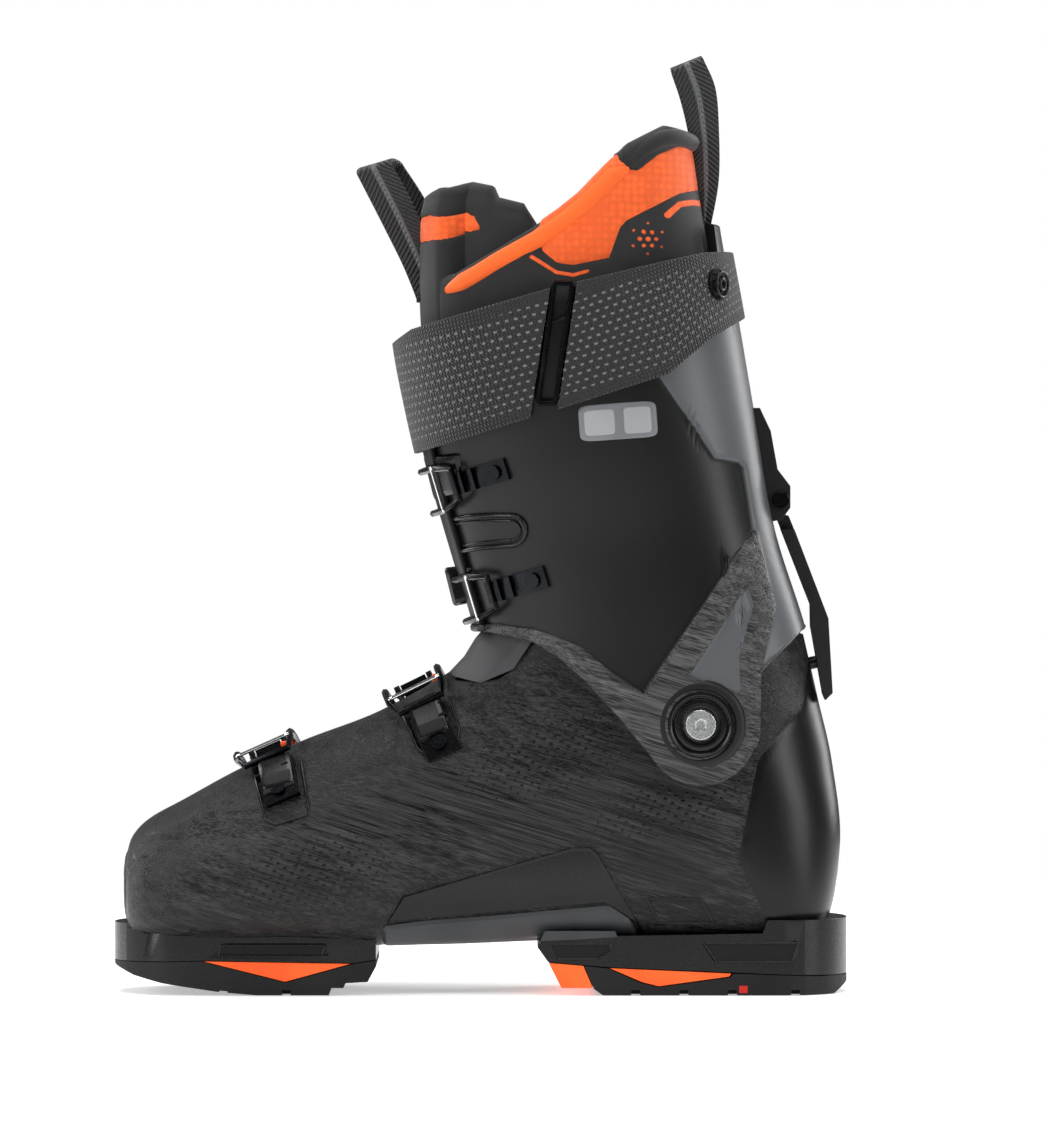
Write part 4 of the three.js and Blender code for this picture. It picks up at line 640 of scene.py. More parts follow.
def make_shell():
    """Outer face from the FOOT sections, cut by the rim: in each section the polar angle of the rim is
    found from the
    share of the section line where it crosses the rim's height; the wall is then thickened inwards."""
    last = np.linspace(13.5, 15, 400)
    s = section(FOOT, last)
    end = last[np.argmax(s[:, 1] > rim_height(s[:, 0]))]
    places = even_places(FOOT, 0, end, 236)
    s = section(FOOT, places)
    share = np.linspace(1, 0, 1200)[None]
    x = s[:, 0:1] + (s[:, 2:3] - s[:, 0:1]) * share
    z = s[:, 1:2] + (s[:, 3:4] - s[:, 1:2]) * share
    cut = share[0][np.argmax(z < rim_height(x), axis=1)]
    cut[-1] = 0
    mid = s[:, 9]
    rise = np.where(cut >= mid, (cut - mid) / (1 - mid), (cut - mid) / mid)
    e = np.where(rise >= 0, s[:, 8], s[:, 7])
    start = np.arctan2(rise, (1 - np.abs(rise) ** e) ** (1 / e))
    start = np.where(cut > 0.9995, math.pi / 2, start)
    t = np.linspace(0, 1, 190)
    turn = start[:, None] + (-math.pi - 2 * start)[:, None] * t
    points = form(FOOT, places[:, None], turn)
    du, dv = np.gradient(points, axis=0), np.gradient(points, axis=1)
    normal = np.cross(dv, du)
    normal /= np.maximum(np.linalg.norm(normal, axis=-1, keepdims=True), 1e-9)
    if normal[60, 95, 2] > 0:
        normal = -normal
    on_side = ease(np.abs(points[..., 1]), 8, 16)[..., None]
    points = points + normal * (shell_relief(points)[..., None] * on_side)
    centre = points[0].mean(0)
    dome = [centre + (points[0] - centre) * math.cos(a) + (-1.6 * math.sin(a), 0,
        0) for a in np.radians((88, 70, 50, 30, 12))]
    tip = np.repeat((centre + (-1.6, 0, 0))[None], points.shape[1], 0)
    points = np.concatenate([[tip], dome, points])
    index = np.arange(points.shape[0] * points.shape[1]).reshape(points.shape[:2])
    plain = distance_in(HEEL_SMOOTH, points[..., 0], points[..., 2])
    obj = piece("shell_skin", points, quads(index), shell_plastic, "shell", "lower_shell", "moulded_shell",
        {"plain": plain}, sharp=None)
    wall = obj.modifiers.new("wall", "SOLIDIFY")
    wall.thickness, wall.offset = WALL * MM, -1
    return obj


make_shell()


# ---------- cuff ----------
def cuff_foot(x):
    """Height of the cuff's lower edge over a side-view place, down round the pivot lobe and up behind it."""
    x = np.asarray(x, float)
    flat = np.interp(x, [-60, -6, 3, 12, 22, 33, 45, 57.4, 68.9, 115, 115.4, 133, 160],
                     [150.5, 150.5, 150.9, 149.2, 146.8, 139.8, 128.7, 114.8, 100.9, 104.6, 134, 151, 151])
    lobe = PIVOT[1] - np.sqrt(np.maximum(24.0**2 - (x - PIVOT[0]) ** 2, 0))
    return np.where((x > 68.5) & (x < 113.5), np.minimum(flat + 40, lobe), flat)


def cuff_head(x, y):
    """Height of the cuff's upper edge: it slopes up to the back, and only the spine stands above the strap."""
    slope = np.interp(x, [-60, 20, 84, 88, 160], [251, 272, 300, 304, 304])
    return np.where(np.abs(y) < 22, np.interp(x, [-60, 20, 84, 88, 160], [251, 272, 300, 318, 318]), slope)


SPINE_EDGE = [(95.5, 276.3), (84, 267.7), (72.2, 255.8), (95.1, 221.8), (104.6, 220.2), (107, 217.3),
    (111.5, 190.7),
              (119.3, 159.5), (114.4, 135.3), (133.3, 151.7), (170, 160), (170, 330), (104, 330), (104, 285)]
BAND = [(-60, 140), (-60, 151), (8, 152.5), (24, 150.6), (42, 143), (55, 132), (67.2, 123.8), (111.5, 190.7),
    (119.3, 159.5),
        (114.4, 135.3), (133.3, 152), (133.3, 60), (-60, 60)]
WINDOW = [(109, 170.2), (111.9, 160.3), (106.2, 139), (107, 124.2), (84.9, 132)]


def make_cuff():
    """The LEG sections as one spiral sheet: it starts under the front on the medial side, runs round the
    back and
    comes over the front again, 3.5 mm further out. Each column's lower and upper end is where it meets the
    outlines."""
    turn = np.concatenate([np.linspace(-math.pi * 1.5 + 0.16, -math.pi, 70, endpoint=False),
                           np.linspace(-math.pi, 0, 150, endpoint=False),
                           np.linspace(0, math.pi / 2 + 0.34, 64)])
    out = 3.4 * ease(turn, math.pi / 2 - 0.52, math.pi / 2 - 0.28)
    place = np.linspace(0, 8, 1601)
    lines = form(LEG, place[:, None], turn[None])
    over = lines[..., 2] > cuff_foot(lines[..., 0])
    first = place[len(place) - 1 - np.argmax(~over[::-1], axis=0)]
    under = lines[..., 2] < cuff_head(lines[..., 0], lines[..., 1])
    last = place[np.argmax(~under, axis=0)]
    t = np.linspace(0, 1, 164)[:, None]
    where = first + (last - first) * t
    mid = form(LEG, where, turn[None], out - CUFF_WALL / 2)
    face = mid[..., 0], mid[..., 2]
    band, spine = distance_in(BAND, *face), distance_in(SPINE_EDGE, *face)
    window = distance_in(WINDOW, *face)
    spine = np.maximum(spine, window)
    band = np.minimum(band, -window)
    front = ease(-mid[..., 0], 10, 20)
    band, spine = band - 30 * front, spine - 30 * front
    raised = 1.3 * ease(band, -0.8, 0.8) + 0.9 * ease(distance_in(SPINE_EDGE, *face), -0.8, 0.8)
    mid = form(LEG, where, turn[None], out - CUFF_WALL / 2 + raised * 0.5)
    thick = CUFF_WALL - 0.8 * ease(turn, math.pi / 2 - 0.52, math.pi / 2 - 0.28) + raised
    points, faces, extras, _ = walled(mid, thick, 3, 0.5, {"band": band, "spine": spine})
    return piece("cuff_skin", points, faces, cuff_plastic, "cuff", "cuff", "moulded_cuff", extras, sharp=50)


make_cuff()

# ---------- power strap ----------
STRAP = LEG.copy()
STRAP[:, 2] -= 3.2
STRAP[:, 0] += 0.3
STRAP[:, 4:6] += 0.3
STRAP_LOW = ([-60, -26, 39, 76, 92, 107, 140], [213, 224, 244, 256, 270, 279.5, 280])
STRAP_TOP = ([-60, -38, -26, 27, 90, 140], [259, 267, 275, 290, 305, 309])
RING_TOP, RING_FOOT = np.array((34.0, 291.0)), np.array((27.5, 246.0))


def crossing(lines, height):
    """The place, in each column, where a climbing line first rises over a height given for its x."""
    gap = lines[..., 2] - height(lines[..., 0])
    i = np.clip(np.argmax(gap > 0, axis=0), 1, len(gap) - 1)
    a, b = np.take_along_axis(gap, i[None] - 1, 0)[0], np.take_along_axis(gap, i[None], 0)[0]
    return i - 1 + a / (a - b)


def strip_size(mid):
    """Width and length in metres of a strip's middle surface, across then along: its length is its area
    over its mean width."""
    a, b = np.diff(mid, axis=0)[:, :-1], np.diff(mid, axis=1)[:-1]
    width = np.linalg.norm(np.diff(mid, axis=0), axis=2).sum(0).mean()
    return width * MM, np.linalg.norm(np.cross(a, b), axis=2).sum() / width * MM


def band_piece(name, rows, low, top, ends, lift, thick, count, material, body, node, slot, across=44,
    bulge=0.35, extra=None):
    """A band laid round a form between two outlines: turn runs between its ends, which may slant with the
    height.
    Its UV map is the run along the band and across it, in metres; 'rim' is the distance from its long edges."""
    turn = np.linspace(*ends["turn"], 1400)
    place = np.linspace(0, len(rows) - 1, 901)
    lines = form(rows, place[:, None], turn[None])
    scale = (len(rows) - 1) / 900
    first, last = crossing(lines, low) * scale, crossing(lines, top) * scale
    share = np.linspace(0, 1, across)
    made, where = [], []
    for t in share:
        level = first + (last - first) * t
        p = form(rows, level, turn)
        ok = ends["keep"](p)
        s = np.concatenate([[0], np.cumsum(np.linalg.norm(np.diff(p, axis=0), axis=1))])
        span = np.linspace(s[ok][0], s[ok][-1], count)
        made.append(np.stack([np.interp(span, s, turn), np.interp(span, s, level)], -1))
        where.append(span)
    made, where = np.array(made), np.array(where)
    mid = form(rows, made[..., 1], made[..., 0], lift + thick / 2)
    high = np.concatenate([np.zeros((1, count)), np.cumsum(np.linalg.norm(np.diff(mid, axis=0), axis=2),
        axis=0)])
    rim = np.minimum(high, high[-1:] - high)
    values = {"rim": rim}
    if extra:
        mid, more = extra(mid, made, rim)
        values.update(more)
    points, faces, values, uv = walled(mid, thick, 3, bulge, values, np.stack([where, high], -1) * MM)
    band = piece(name, points, faces, material, body, node, slot, values, uv, sharp=None)
    return band


def strap_line(p, by):
    """How far points are behind the ring's line, which leans back as it rises."""
    return p[:, 0] - (RING_FOOT[0] + (p[:,
        2] - RING_FOOT[1]) * (RING_TOP - RING_FOOT)[0] / (RING_TOP - RING_FOOT)[1]) - by


low_edge, top_edge = (lambda x: np.interp(x, *STRAP_LOW)), (lambda x: np.interp(x, *STRAP_TOP))
HALF = math.pi / 2
band_piece("power_strap_webbing", STRAP, low_edge, top_edge,
           {"turn": (-1.5 * math.pi, HALF), "keep": lambda p: np.where(p[:, 1] < 0, strap_line(p, 5.5) > 0,
               p[:, 0] > 14)},
           0.8, 2.6, 420, strap_cloth, "cuff", "power_strap", "webbing")
band_piece("strap_flap_webbing", STRAP, low_edge, top_edge,
           {"turn": (-math.pi + 0.2, -2 * math.pi - 0.2), "keep": lambda p: np.where(p[:, 1] < 0,
               strap_line(p, -5.5) < 0, p[:, 0] < 13.5)},
           0.8, 2.6, 300, strap_cloth, "cuff", "strap_flap", "webbing")


# ---------- liner and tongue above the shell ----------
LINER = LEG.copy()
LINER[5:, 0] -= np.arange(1, 5)
LINER[5:, 2] += 1.2 * np.arange(1, 5)
LINER = drawn_in(LINER, 4.6)
LINER_TOP = ([-60, -12, 21, 28, 41, 51, 63, 79, 92, 160], [286, 293, 312, 317, 327, 337, 348, 356.5, 355, 355])
TONGUE_TOP = ([-60, -30, -19, -3, 0, 14, 22, 36], [322, 324, 328.5, 327, 322.5, 321, 312, 290])
MESH_PANEL = [(25.8, 306.3), (31.6, 301.4), (38.1, 300.5), (52.1, 303.4), (56.2, 315.7), (58.6, 318.6),
    (79.1, 330.1), (87.3, 332.5),
              (104, 334), (104, 356), (87.3, 352), (79.1, 350.1), (70.9, 346), (62.7, 339), (55, 343),
                  (40, 330), (25, 316)]
STRIPES = [np.array([(74.5, 320.6), (79.1, 325.3), (84, 326.4), (96, 327)]),
    np.array([(21.2, 303.5), (31.4, 296.9), (38.1, 295.7), (43.7, 297.4)])]
ring = np.linspace(0, 2 * math.pi, 7)[:-1]
DOTS = np.concatenate([[(67, 311)], np.stack([67 + 3.1 * np.cos(ring), 311 + 3.1 * np.sin(ring)], -1),
                       np.stack([67 + 6.1 * np.cos(ring + 0.5), 311 + 6.1 * np.sin(ring + 0.5)], -1)])
DOT_SIZES = np.array([1.0] + [0.8] * 6 + [0.55] * 6)


def liner_colours(mid, made, rim):
    """The side panels: 'orange' is how far inside the orange cloth a point is, from outlines in the side
    view; the
    foam swells between its seams, which are pressed in along the panel's edges."""
    x, z = mid[..., 0], mid[..., 2]
    orange = distance_in(MESH_PANEL, x, z)
    seam = np.abs(orange)
    for line, width in zip(STRIPES, (1.25, 0.8)):
        a, b = line[:-1], line[1:]
        t = np.clip(((x[..., None] - a[:, 0]) * (b - a)[:, 0] + (z[..., None] - a[:, 1]) * (b - a)[:,
            1]) / ((b - a) ** 2).sum(1), 0, 1)
        near = np.hypot(x[..., None] - a[:, 0] - t * (b - a)[:, 0],
            z[..., None] - a[:, 1] - t * (b - a)[:, 1]).min(-1)
        orange = np.maximum(orange, width - near)
    dot = (DOT_SIZES - np.hypot(x[..., None] - DOTS[:, 0], z[..., None] - DOTS[:, 1])).max(-1)
    orange = np.maximum(orange, dot)
    cap = distance_in([(59, 339), (62.7, 338.9), (70.9, 346), (79.1, 350.1), (87.3, 351.6), (110, 352),
        (110, 370), (50, 370)], x, z)
    orange = np.minimum(orange, -cap)
    inward = np.stack([np.zeros_like(x), -np.sign(mid[..., 1]), np.zeros_like(x)], -1)
    press = 0.9 * (1 - ease(np.minimum(seam, np.abs(cap)), 0, 2.2)) - 0.8 * ease(np.minimum(seam, rim), 2, 9)
    return mid + inward * press[..., None], {"orange": orange}


def panel_cloth():
    """The liner's outer cloth: orange three-dimensional mesh with 3 mm cells where 'orange' is above 0, black
    brushed neoprene elsewhere. The border between them is crisp, as a welded film is."""
    made, tree, shader = material("two_colour_liner_cloth", Roughness=0.8, IOR=1.5, Sheen_Weight=0.15,
        Sheen_Roughness=0.4)
    side = between(tree, add(tree, "Attribute", attribute_name="orange").outputs["Fac"], -0.2, 0.2)
    place = add(tree, "Mapping", {"Vector": add(tree, "TexCoord").outputs["Object"], "Scale": (1, 0.3, 1)})
    cells = add(tree, "TexVoronoi", {"Vector": place.outputs[0], "Scale": 1000 / 3.0,
        "Randomness": 0.3}).outputs["Distance"]
    knit = spread(tree, (3000, 3000, 3000), detail=2)
    cloud = spread(tree, (45, 45, 45), detail=2)
    hot = mixed(tree, reckon(tree, "MULTIPLY", between(tree, cells, 0.25, 0.6), 0.5),
        mixed(tree, cloud, "#ff6d28", "#f55f1c"), "#cf4a12")
    cold = mixed(tree, knit, "#0d0d0e", "#1c1c1d")
    feed(tree, shader, Base_Color=mixed(tree, side, cold, hot))
    bumped(tree, shader, reckon(tree, "ADD", reckon(tree, "MULTIPLY", cells, side),
        reckon(tree, "MULTIPLY", knit, 0.4)), 0.0005, 0.8)
    return made


liner_cloth = panel_cloth()
liner = band_piece("liner_shaft_padding", LINER, lambda x: 232 + 0 * x, lambda x: np.interp(x, *LINER_TOP),
                   {"turn": (-1.5 * math.pi, HALF), "keep": lambda p: (p[:, 0] > 22) | (np.abs(p[:, 1]) > 30)},
                   -8, 8, 360, liner_cloth, "cuff", "liner_shaft", "liner_padding", across=132, bulge=0.9,
                       extra=liner_colours)


def tongue_colours(mid, made, rim):
    """Cloth areas of the tongue, and its sides drawn in so that they lie inside the liner's front edges."""
    x, z = mid[..., 0], mid[..., 2]
    orange = distance_in([(-27, 311), (-25.4, 319.6), (-16.4, 322.4), (-5.5, 319.2), (-2, 313.2),
        (-21.9, 311.4)], x, z)
    tuck = ease(np.abs(mid[..., 1]), 26, 31)
    deep = form(LINER, made[..., 1], made[..., 0], -4.5 - 9.5 * tuck + 1.2 * ease(rim, 0,
        6) - 1.0 * (1 - ease(np.abs(orange), 0, 1.6)))
    return deep, {"orange": orange}


tongue = band_piece("tongue_padding", LINER, lambda x: 232 + 0 * x, lambda x: np.interp(x, *TONGUE_TOP),
                    {"turn": (HALF - 1.9, HALF + 1.9), "keep": lambda p: (p[:, 0] < 20.5) & (np.abs(p[:,
                        1]) < 60)},
                    -9, 8, 230, liner_cloth, "cuff", "tongue_upper", "liner_padding", across=120, bulge=0.9,
                        extra=tongue_colours)


def edge_roll(name, line, radius, material, side, inset, body="cuff", slot="liner_padding"):
    """A bound edge: a soft tube laid along a line of the side view on one face of the liner, tapering at
    its ends."""
    path = along(line, 70)
    y = skin(LINER, path[:, 0], np.minimum(path[:, 1], 352), side)[0][:, 1] - side * inset
    t = np.linspace(0, 1, len(path))
    swell = np.minimum(1, 0.25 + 9 * np.minimum(t, 1 - t)) ** 0.5
    points, faces = tube(np.stack([path[:, 0], y, path[:, 1]], -1), radius * swell, 16)
    return piece(name, points, faces, material, body, (), slot, sharp=None)


PIPING = [(-13, 290.5), (-2, 296), (8.2, 302.2), (24.6, 311.6), (38.1, 321.4), (48, 330.4), (54.5, 337.2),
    (60.5, 339.8)]
CAP = [(58.5, 340), (65.6, 347.3), (73.8, 352.3), (80.6, 353.6), (86.8, 352.6), (92, 352)]
for side, name in ((MEDIAL, "medial"), (LATERAL, "lateral")):
    edge_roll(name + "_piping", PIPING, 4.3, orange_piping, side, 2.6)
    edge_roll(name + "_cap_roll", CAP, 3.9, black_binding, side, 3.6)


# ---------- pull loops ----------
def pull_loop(name, near, far, half, node):
    """A webbing loop: it climbs on the medial side, folds over in a half circle and comes down on the
    lateral side.
    Each leg lies between two lines of the side view, given from the foot to the top; 'across' runs -1 to 1
    over its width."""
    n = 60
    legs = [[along(line, n) for line in leg] for leg in (near, far)]
    fold = np.linspace(0, math.pi, 16)[1:-1]
    w = np.linspace(0, 1, 18)
    flare = np.clip(np.arange(n) / 14, 0, 1) ** 0.7 * half
    y = np.concatenate([-flare, -half * np.cos(fold), flare[::-1]])
    t = (1 - np.cos(fold))[:, None] / 2
    edges = [np.concatenate([legs[0][k], legs[0][k][-1] * (1 - t) + legs[1][k][-1] * t,
        legs[1][k][::-1]]) for k in (0, 1)]
    up = legs[0][0][-1] - legs[0][0][-6]
    rise = np.concatenate([np.zeros(n), half * 0.35 * np.sin(fold), np.zeros(n)])[:,
        None] * up / np.linalg.norm(up)
    mid = (edges[0] + rise)[:, None] * (1 - w)[:, None] + (edges[1] + rise)[:, None] * w[:, None]
    dish = 0.9 * np.sin(math.pi * w) * np.sign(y + 1e-9)[:, None] * np.abs(np.concatenate([np.ones(n),
        np.cos(fold), np.ones(n)]))[:, None]
    points = np.stack([mid[..., 0], y[:, None] + dish, mid[..., 1]], -1)
    run = np.concatenate([[0], np.cumsum(np.linalg.norm(np.diff(points[:, 9], axis=0), axis=1))])
    width = np.linalg.norm(points[:, -1] - points[:, 0], axis=1)
    uv = np.stack([np.repeat(run[:, None], 18, 1), (w[None] - 0.5) * width[:, None]], -1) * MM
    across = np.repeat((2 * w - 1)[None], len(points), 0)
    made, faces, values, uv = walled(points, 1.8, 3, 0.4, {"across": across}, uv)
    loop = piece(name, made, faces, loop_cloth, "cuff", node, "webbing", values, uv, sharp=None)
    strip_size(points.swapaxes(0, 1))
    return loop


pull_loop("front_loop_webbing",
          ([(-26, 287), (-31.6, 301), (-41, 320), (-51, 339.5)],
              [(-13.7, 288.5), (-19.5, 306), (-28, 326), (-37.5, 344)]),
          ([(-24, 290), (-30, 312), (-38, 330), (-45, 341)], [(-13, 292), (-17.5, 312), (-22.5, 327.5),
              (-32.5, 343.5)]), 6, "front_pull_loop")
pull_loop("rear_loop_webbing",
          ([(90.6, 318), (88.4, 337), (87.2, 353), (84, 368), (79.8, 381.5)],
              [(95.2, 318), (98.6, 337), (98.7, 358), (97.3, 375), (92.6, 386.5)]),
          ([(90.6, 318), (88.8, 337), (87.8, 353), (84.6, 368), (80.3, 381)],
              [(95.2, 318), (98.2, 337), (98.3, 358), (96.9, 375), (92.2, 386)]), 6, "rear_pull_loop")
for side, name in ((MEDIAL, "medial"), (LATERAL, "lateral")):
    tab = [(-26.5, 287), (-24, 297.5), (-13.5, 299), (-11, 288.5)]
    a, b = along([tab[0], tab[3]], 14, smooth=False), along([tab[1], tab[2]], 14, smooth=False)
    w = np.linspace(0, 1, 30)[None, :, None]
    flat = a[:, None] * (1 - w) + b[:, None] * w
    ridge = 0.35 * np.sin(np.linspace(0, 9 * math.pi, 30))[None] + np.zeros((14, 1))
    points = np.stack([flat[..., 0], side * (7.6 + ridge), flat[..., 1]], -1)
    piece(name + "_loop_stitching", *walled(points, 1.3, 2, 0.4)[:2], black_binding, "cuff", (), "webbing",
        sharp=None)


# ---------- raised and sunk details on the shell ----------
def plaque(name, rows, low, top, side, high, material, body, slot=None, count=(80, 18), bury=0.8,
    round_off=1.0, node=()):
    """A raised panel between two lines of the side view: its face stands off the skin by its height, and
    falls to
    below the skin along its edges over a distance."""
    a, b = along(low, count[0], smooth=False), along(top, count[0], smooth=False)
    w = np.linspace(0, 1, count[1])[None, :, None]
    place = a[:, None] * (1 - w) + b[:, None] * w
    u = np.linspace(0, 1, count[0])[:, None] * np.ones((1, count[1]))
    length = np.linalg.norm(a[-1] - a[0])
    width = np.linalg.norm(a - b, axis=1)[:, None]
    rim = np.minimum(np.minimum(u, 1 - u) * length, np.minimum(w[..., 0], 1 - w[..., 0]) * width)
    lift = -bury + (high + bury) * ease(rim, 0, round_off) ** 0.6
    face, normal = skin(rows, place[..., 0], place[..., 1], side, lift)
    return piece(name, *walled(face - normal * 0.5, 1.0, 1, 0.2)[:2], material, body, node, slot, sharp=35)


for side, name in ((MEDIAL, "medial"), (LATERAL, "lateral")):
    plaque(name + "_arch_rail", FOOT, [(-40, 19), (-28, 19.4), (8, 21), (26, 24), (58, 22), (70, 13)],
           [(-40, 28), (-25, 30), (8, 32.5), (53, 36.6), (61, 31), (71.5, 13)], side, 0.3, grey_plastic,
               "shell", "moulded_shell", (90, 12))
    panel = plaque(name + "_arch_panel", FOOT, [(-37.5, 30.5), (8, 34.5), (52, 38.5), (64, 30), (71, 18)],
                   [(-31, 41), (38, 61), (45.5, 61), (48.6, 58), (71.6, 18)], side, -0.9, gloss_plastic,
                       "shell", "moulded_shell", (110, 30))
    frame_line = along([(68.5, 40.2), (90.6, 40.2), (96, 30), (73.4, 30)], 120, closed=True, smooth=False)
    line = skin(FOOT, frame_line[:, 0], frame_line[:, 1], side, 0.15)[0]
    points, faces = tube(line, 0.55, 8, closed=True)
    piece(name + "_size_frame", points, faces, matt_plastic, "shell", (), "moulded_shell", sharp=None)


def dimples(name, side):
    """Three fields of shallow studs on a diamond lattice, 4.5 mm by 2.7 mm, largest at the middle of each
    field.
    Each stud is a low dome of three rings set on the skin along its normal."""
    spots, sizes = [], []
    for (cx, cz, wide, high) in ((-70, 50, 37, 17), (27.5, 100.5, 40, 19), (79, 79, 35, 13)):
        i, j = np.meshgrid(np.arange(-14, 15), np.arange(-12, 13), indexing="ij")
        u, v = (i + 0.5 * (j % 2)) * 4.5, j * 2.7
        r = (u / wide) ** 2 + (v / high) ** 2
        keep = r < 1
        tilt = math.radians(14)
        spots.append(np.stack([cx + u * math.cos(tilt) - v * math.sin(tilt),
            cz + u * math.sin(tilt) + v * math.cos(tilt)], -1)[keep])
        sizes.append((0.3 + 0.72 * (1 - r[keep])))
    spots, sizes = np.concatenate(spots), np.concatenate(sizes)
    clear = (distance_in(ARCH, *spots.T) < -2) & (np.hypot(spots[:, 0] - 90.5,
        spots[:, 1] - 112) > 28) & (spots[:, 1] < cuff_foot(spots[:, 0]) - 2.5)
    spots, sizes = spots[clear], sizes[clear]
    base, normal = skin(FOOT, spots[:, 0], spots[:, 1], side)
    ahead = np.stack([normal[:, 1] * side, -normal[:, 0] * side, 0 * normal[:, 0]], -1)
    ahead /= np.linalg.norm(ahead, axis=1, keepdims=True)
    other = np.cross(normal, ahead)
    a = np.linspace(0, 2 * math.pi, 8, endpoint=False)
    rings = []
    for reach, up in ((1.0, -0.5), (1.0, 0.06), (0.7, 0.22)):
        rings.append(base[:, None] + normal[:, None] * up + (ahead[:, None] * np.cos(a)[:, None] + other[:,
            None] * np.sin(a)[:, None]) * (sizes * reach)[:, None, None])
    rings = np.stack(rings, 1)
    n = len(spots)
    index = np.arange(n * 24).reshape(n, 3, 8)
    index = np.concatenate([index, index[..., :1]], 2)
    sides = np.stack([index[:, :-1, :-1], index[:, :-1, 1:], index[:, 1:, 1:], index[:, 1:, :-1]],
        -1).reshape(-1, 4)
    caps = [list(map(int, c)) for c in index[:, 2, :8]] + [list(map(int, c)) for c in index[:, 0, :8][:, ::-1]]
    return piece(name, rings, [list(map(int, f)) for f in sides] + caps, gloss_plastic, "shell", (),
        "moulded_shell", sharp=None)


dimples("medial_dimples", MEDIAL)
dimples("lateral_dimples", LATERAL)


# ---------- cuff details ----------
def ring_profile(name, side, profile, material, body, node, slot, count=72, centre=PIVOT, start=None):
    """A turned part about the pivot's axis: profile points are (radius, height off the skin's face)."""
    r, h = np.array(profile, float).T
    a = np.linspace(0, 2 * math.pi, count, endpoint=False)
    y = side * (start + h)
    points = np.stack([centre[0] + r[:, None] * np.cos(a), np.repeat(y[:, None], count, 1),
        centre[1] + r[:, None] * np.sin(a)], -1)
    index = np.arange(len(r) * count).reshape(len(r), count)
    index = np.concatenate([index, index[:, :1]], 1)
    faces = quads(index).tolist() + [index[0, :-1].tolist(), index[-1, :-1][::-1].tolist()]
    return piece(name, points, faces, material, body, node, slot, sharp=35)


def cuff_wire():
    """A flat wire loop on the cuff's medial face: two runs that come round the front edge, joined by a
    half circle."""
    for name, reach, wire in (("cuff_loop_wire", 6.2, 0.95), ("cuff_loop_lip", 4.0, 0.5)):
        a = np.linspace(HALF, -HALF, 30)
        end = np.stack([12.6 + reach * np.cos(a), 191.8 + reach * np.sin(a)], -1)
        path = np.concatenate([[(-9.5, 196.6 - (6.2 - reach)), (-3, 197.6 - (6.2 - reach)),
            (5, 198 - (6.2 - reach))], end,
                               [(5, 185.0 + (6.2 - reach)), (-1, 184.4 + (6.2 - reach)),
                                   (-6.5, 183.3 + (6.2 - reach))]])
        path = along(path, 110)
        points, faces = tube(skin(LEG, path[:, 0], path[:, 1], MEDIAL, 0.9 if wire > 0.9 else 0.3)[0], wire, 12)
        piece(name, points, faces, coated_wire, "cuff", "cuff_loop" if wire > 0.9 else (),
            "coated_wire" if wire > 0.9 else "moulded_cuff", sharp=None)


cuff_wire()
for node, side, owner in (("canting_dial", MEDIAL, "canting_dial"),
    ("lateral_pivot_ring", LATERAL, body_of["lateral_pivot_ring"])):
    lo, hi = (np.array(c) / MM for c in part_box(node))
    face = max(abs(lo[1]), abs(hi[1]))
    inner = min(abs(lo[1]), abs(hi[1]))
    ring_profile(node + "_rings", side, [(13.4, inner - face + 0.4), (13.5, -0.8), (13.1, -0.2), (12.4, 0),
        (11.9, -0.3), (11.6, -1.1), (11, -1.3),
                                          (10.6, -0.5), (10.2, -0.3), (8.4, -0.5), (8, -1.3), (7.2, -1.4),
                                              (6.9, -1.6), (6.6, inner - face + 0.4)],
                 gloss_plastic, owner, node, "moulded_shell", start=face)
for side, name in ((MEDIAL, "medial"), (LATERAL, "lateral")):
    ring_profile(name + "_pivot_bezel", side, [(14.2, -1.5), (14.3, 0.9), (14.8, 1.3), (16.4, 1.3), (17.6,
        0.8), (18.4, -0.2), (18.6, -1.5)],
                 matt_plastic, "cuff", (), "moulded_cuff", start=47.6)


def label(side):
    """A blank care sticker on the cuff: a silvery film 32 by 15 mm with round corners, and two paler
    fields on it."""
    tilt = math.radians(4)
    for name, wide, high, du, lift, mat in (("sticker", 16, 7.4, 0, 0.16, sticker_film),
        ("sticker_field_a", 6.2, 5.2, -7.6, 0.24, sticker_field),
            ("sticker_field_b", 5.6, 5.4, 8, 0.24, sticker_field)):
        t = np.linspace(-1, 1, 25)
        u, v = np.meshgrid(t, t, indexing="ij")
        e = 8
        r = np.maximum(np.abs(u), np.abs(v)) / np.maximum((np.abs(u) ** e + np.abs(v) ** e) ** (1 / e), 1e-9)
        u, v = u * r * wide + du, v * r * high
        x, z = 56.5 + u * math.cos(tilt) - v * math.sin(tilt), 236.5 + u * math.sin(tilt) + v * math.cos(tilt)
        face, normal = skin(LEG, x, z, side, lift)
        piece(name, *walled(face - normal * 0.06, 0.12, 1, 0.2)[:2], mat, "cuff", (), "moulded_cuff",
            sharp=None)


sticker_film = satin_polymer("silver_polyester_label_film", "#6a6c6f", "#7a7c7f", (0.32, 0.42), 900, 0.00001)
sticker_field = satin_polymer("matt_white_label_print", "#909192", "#9c9d9e", (0.5, 0.6), 900, 0.00001)
label(MEDIAL)

# ---------- buckle details ----------
def node_points(name):
    """A CAD node's vertices in millimetres, as one array."""
    mesh = frame["nodes"][name].data
    points = np.empty(len(mesh.vertices) * 3)
    mesh.vertices.foreach_get("co", points)
    return points.reshape(-1, 3) / MM


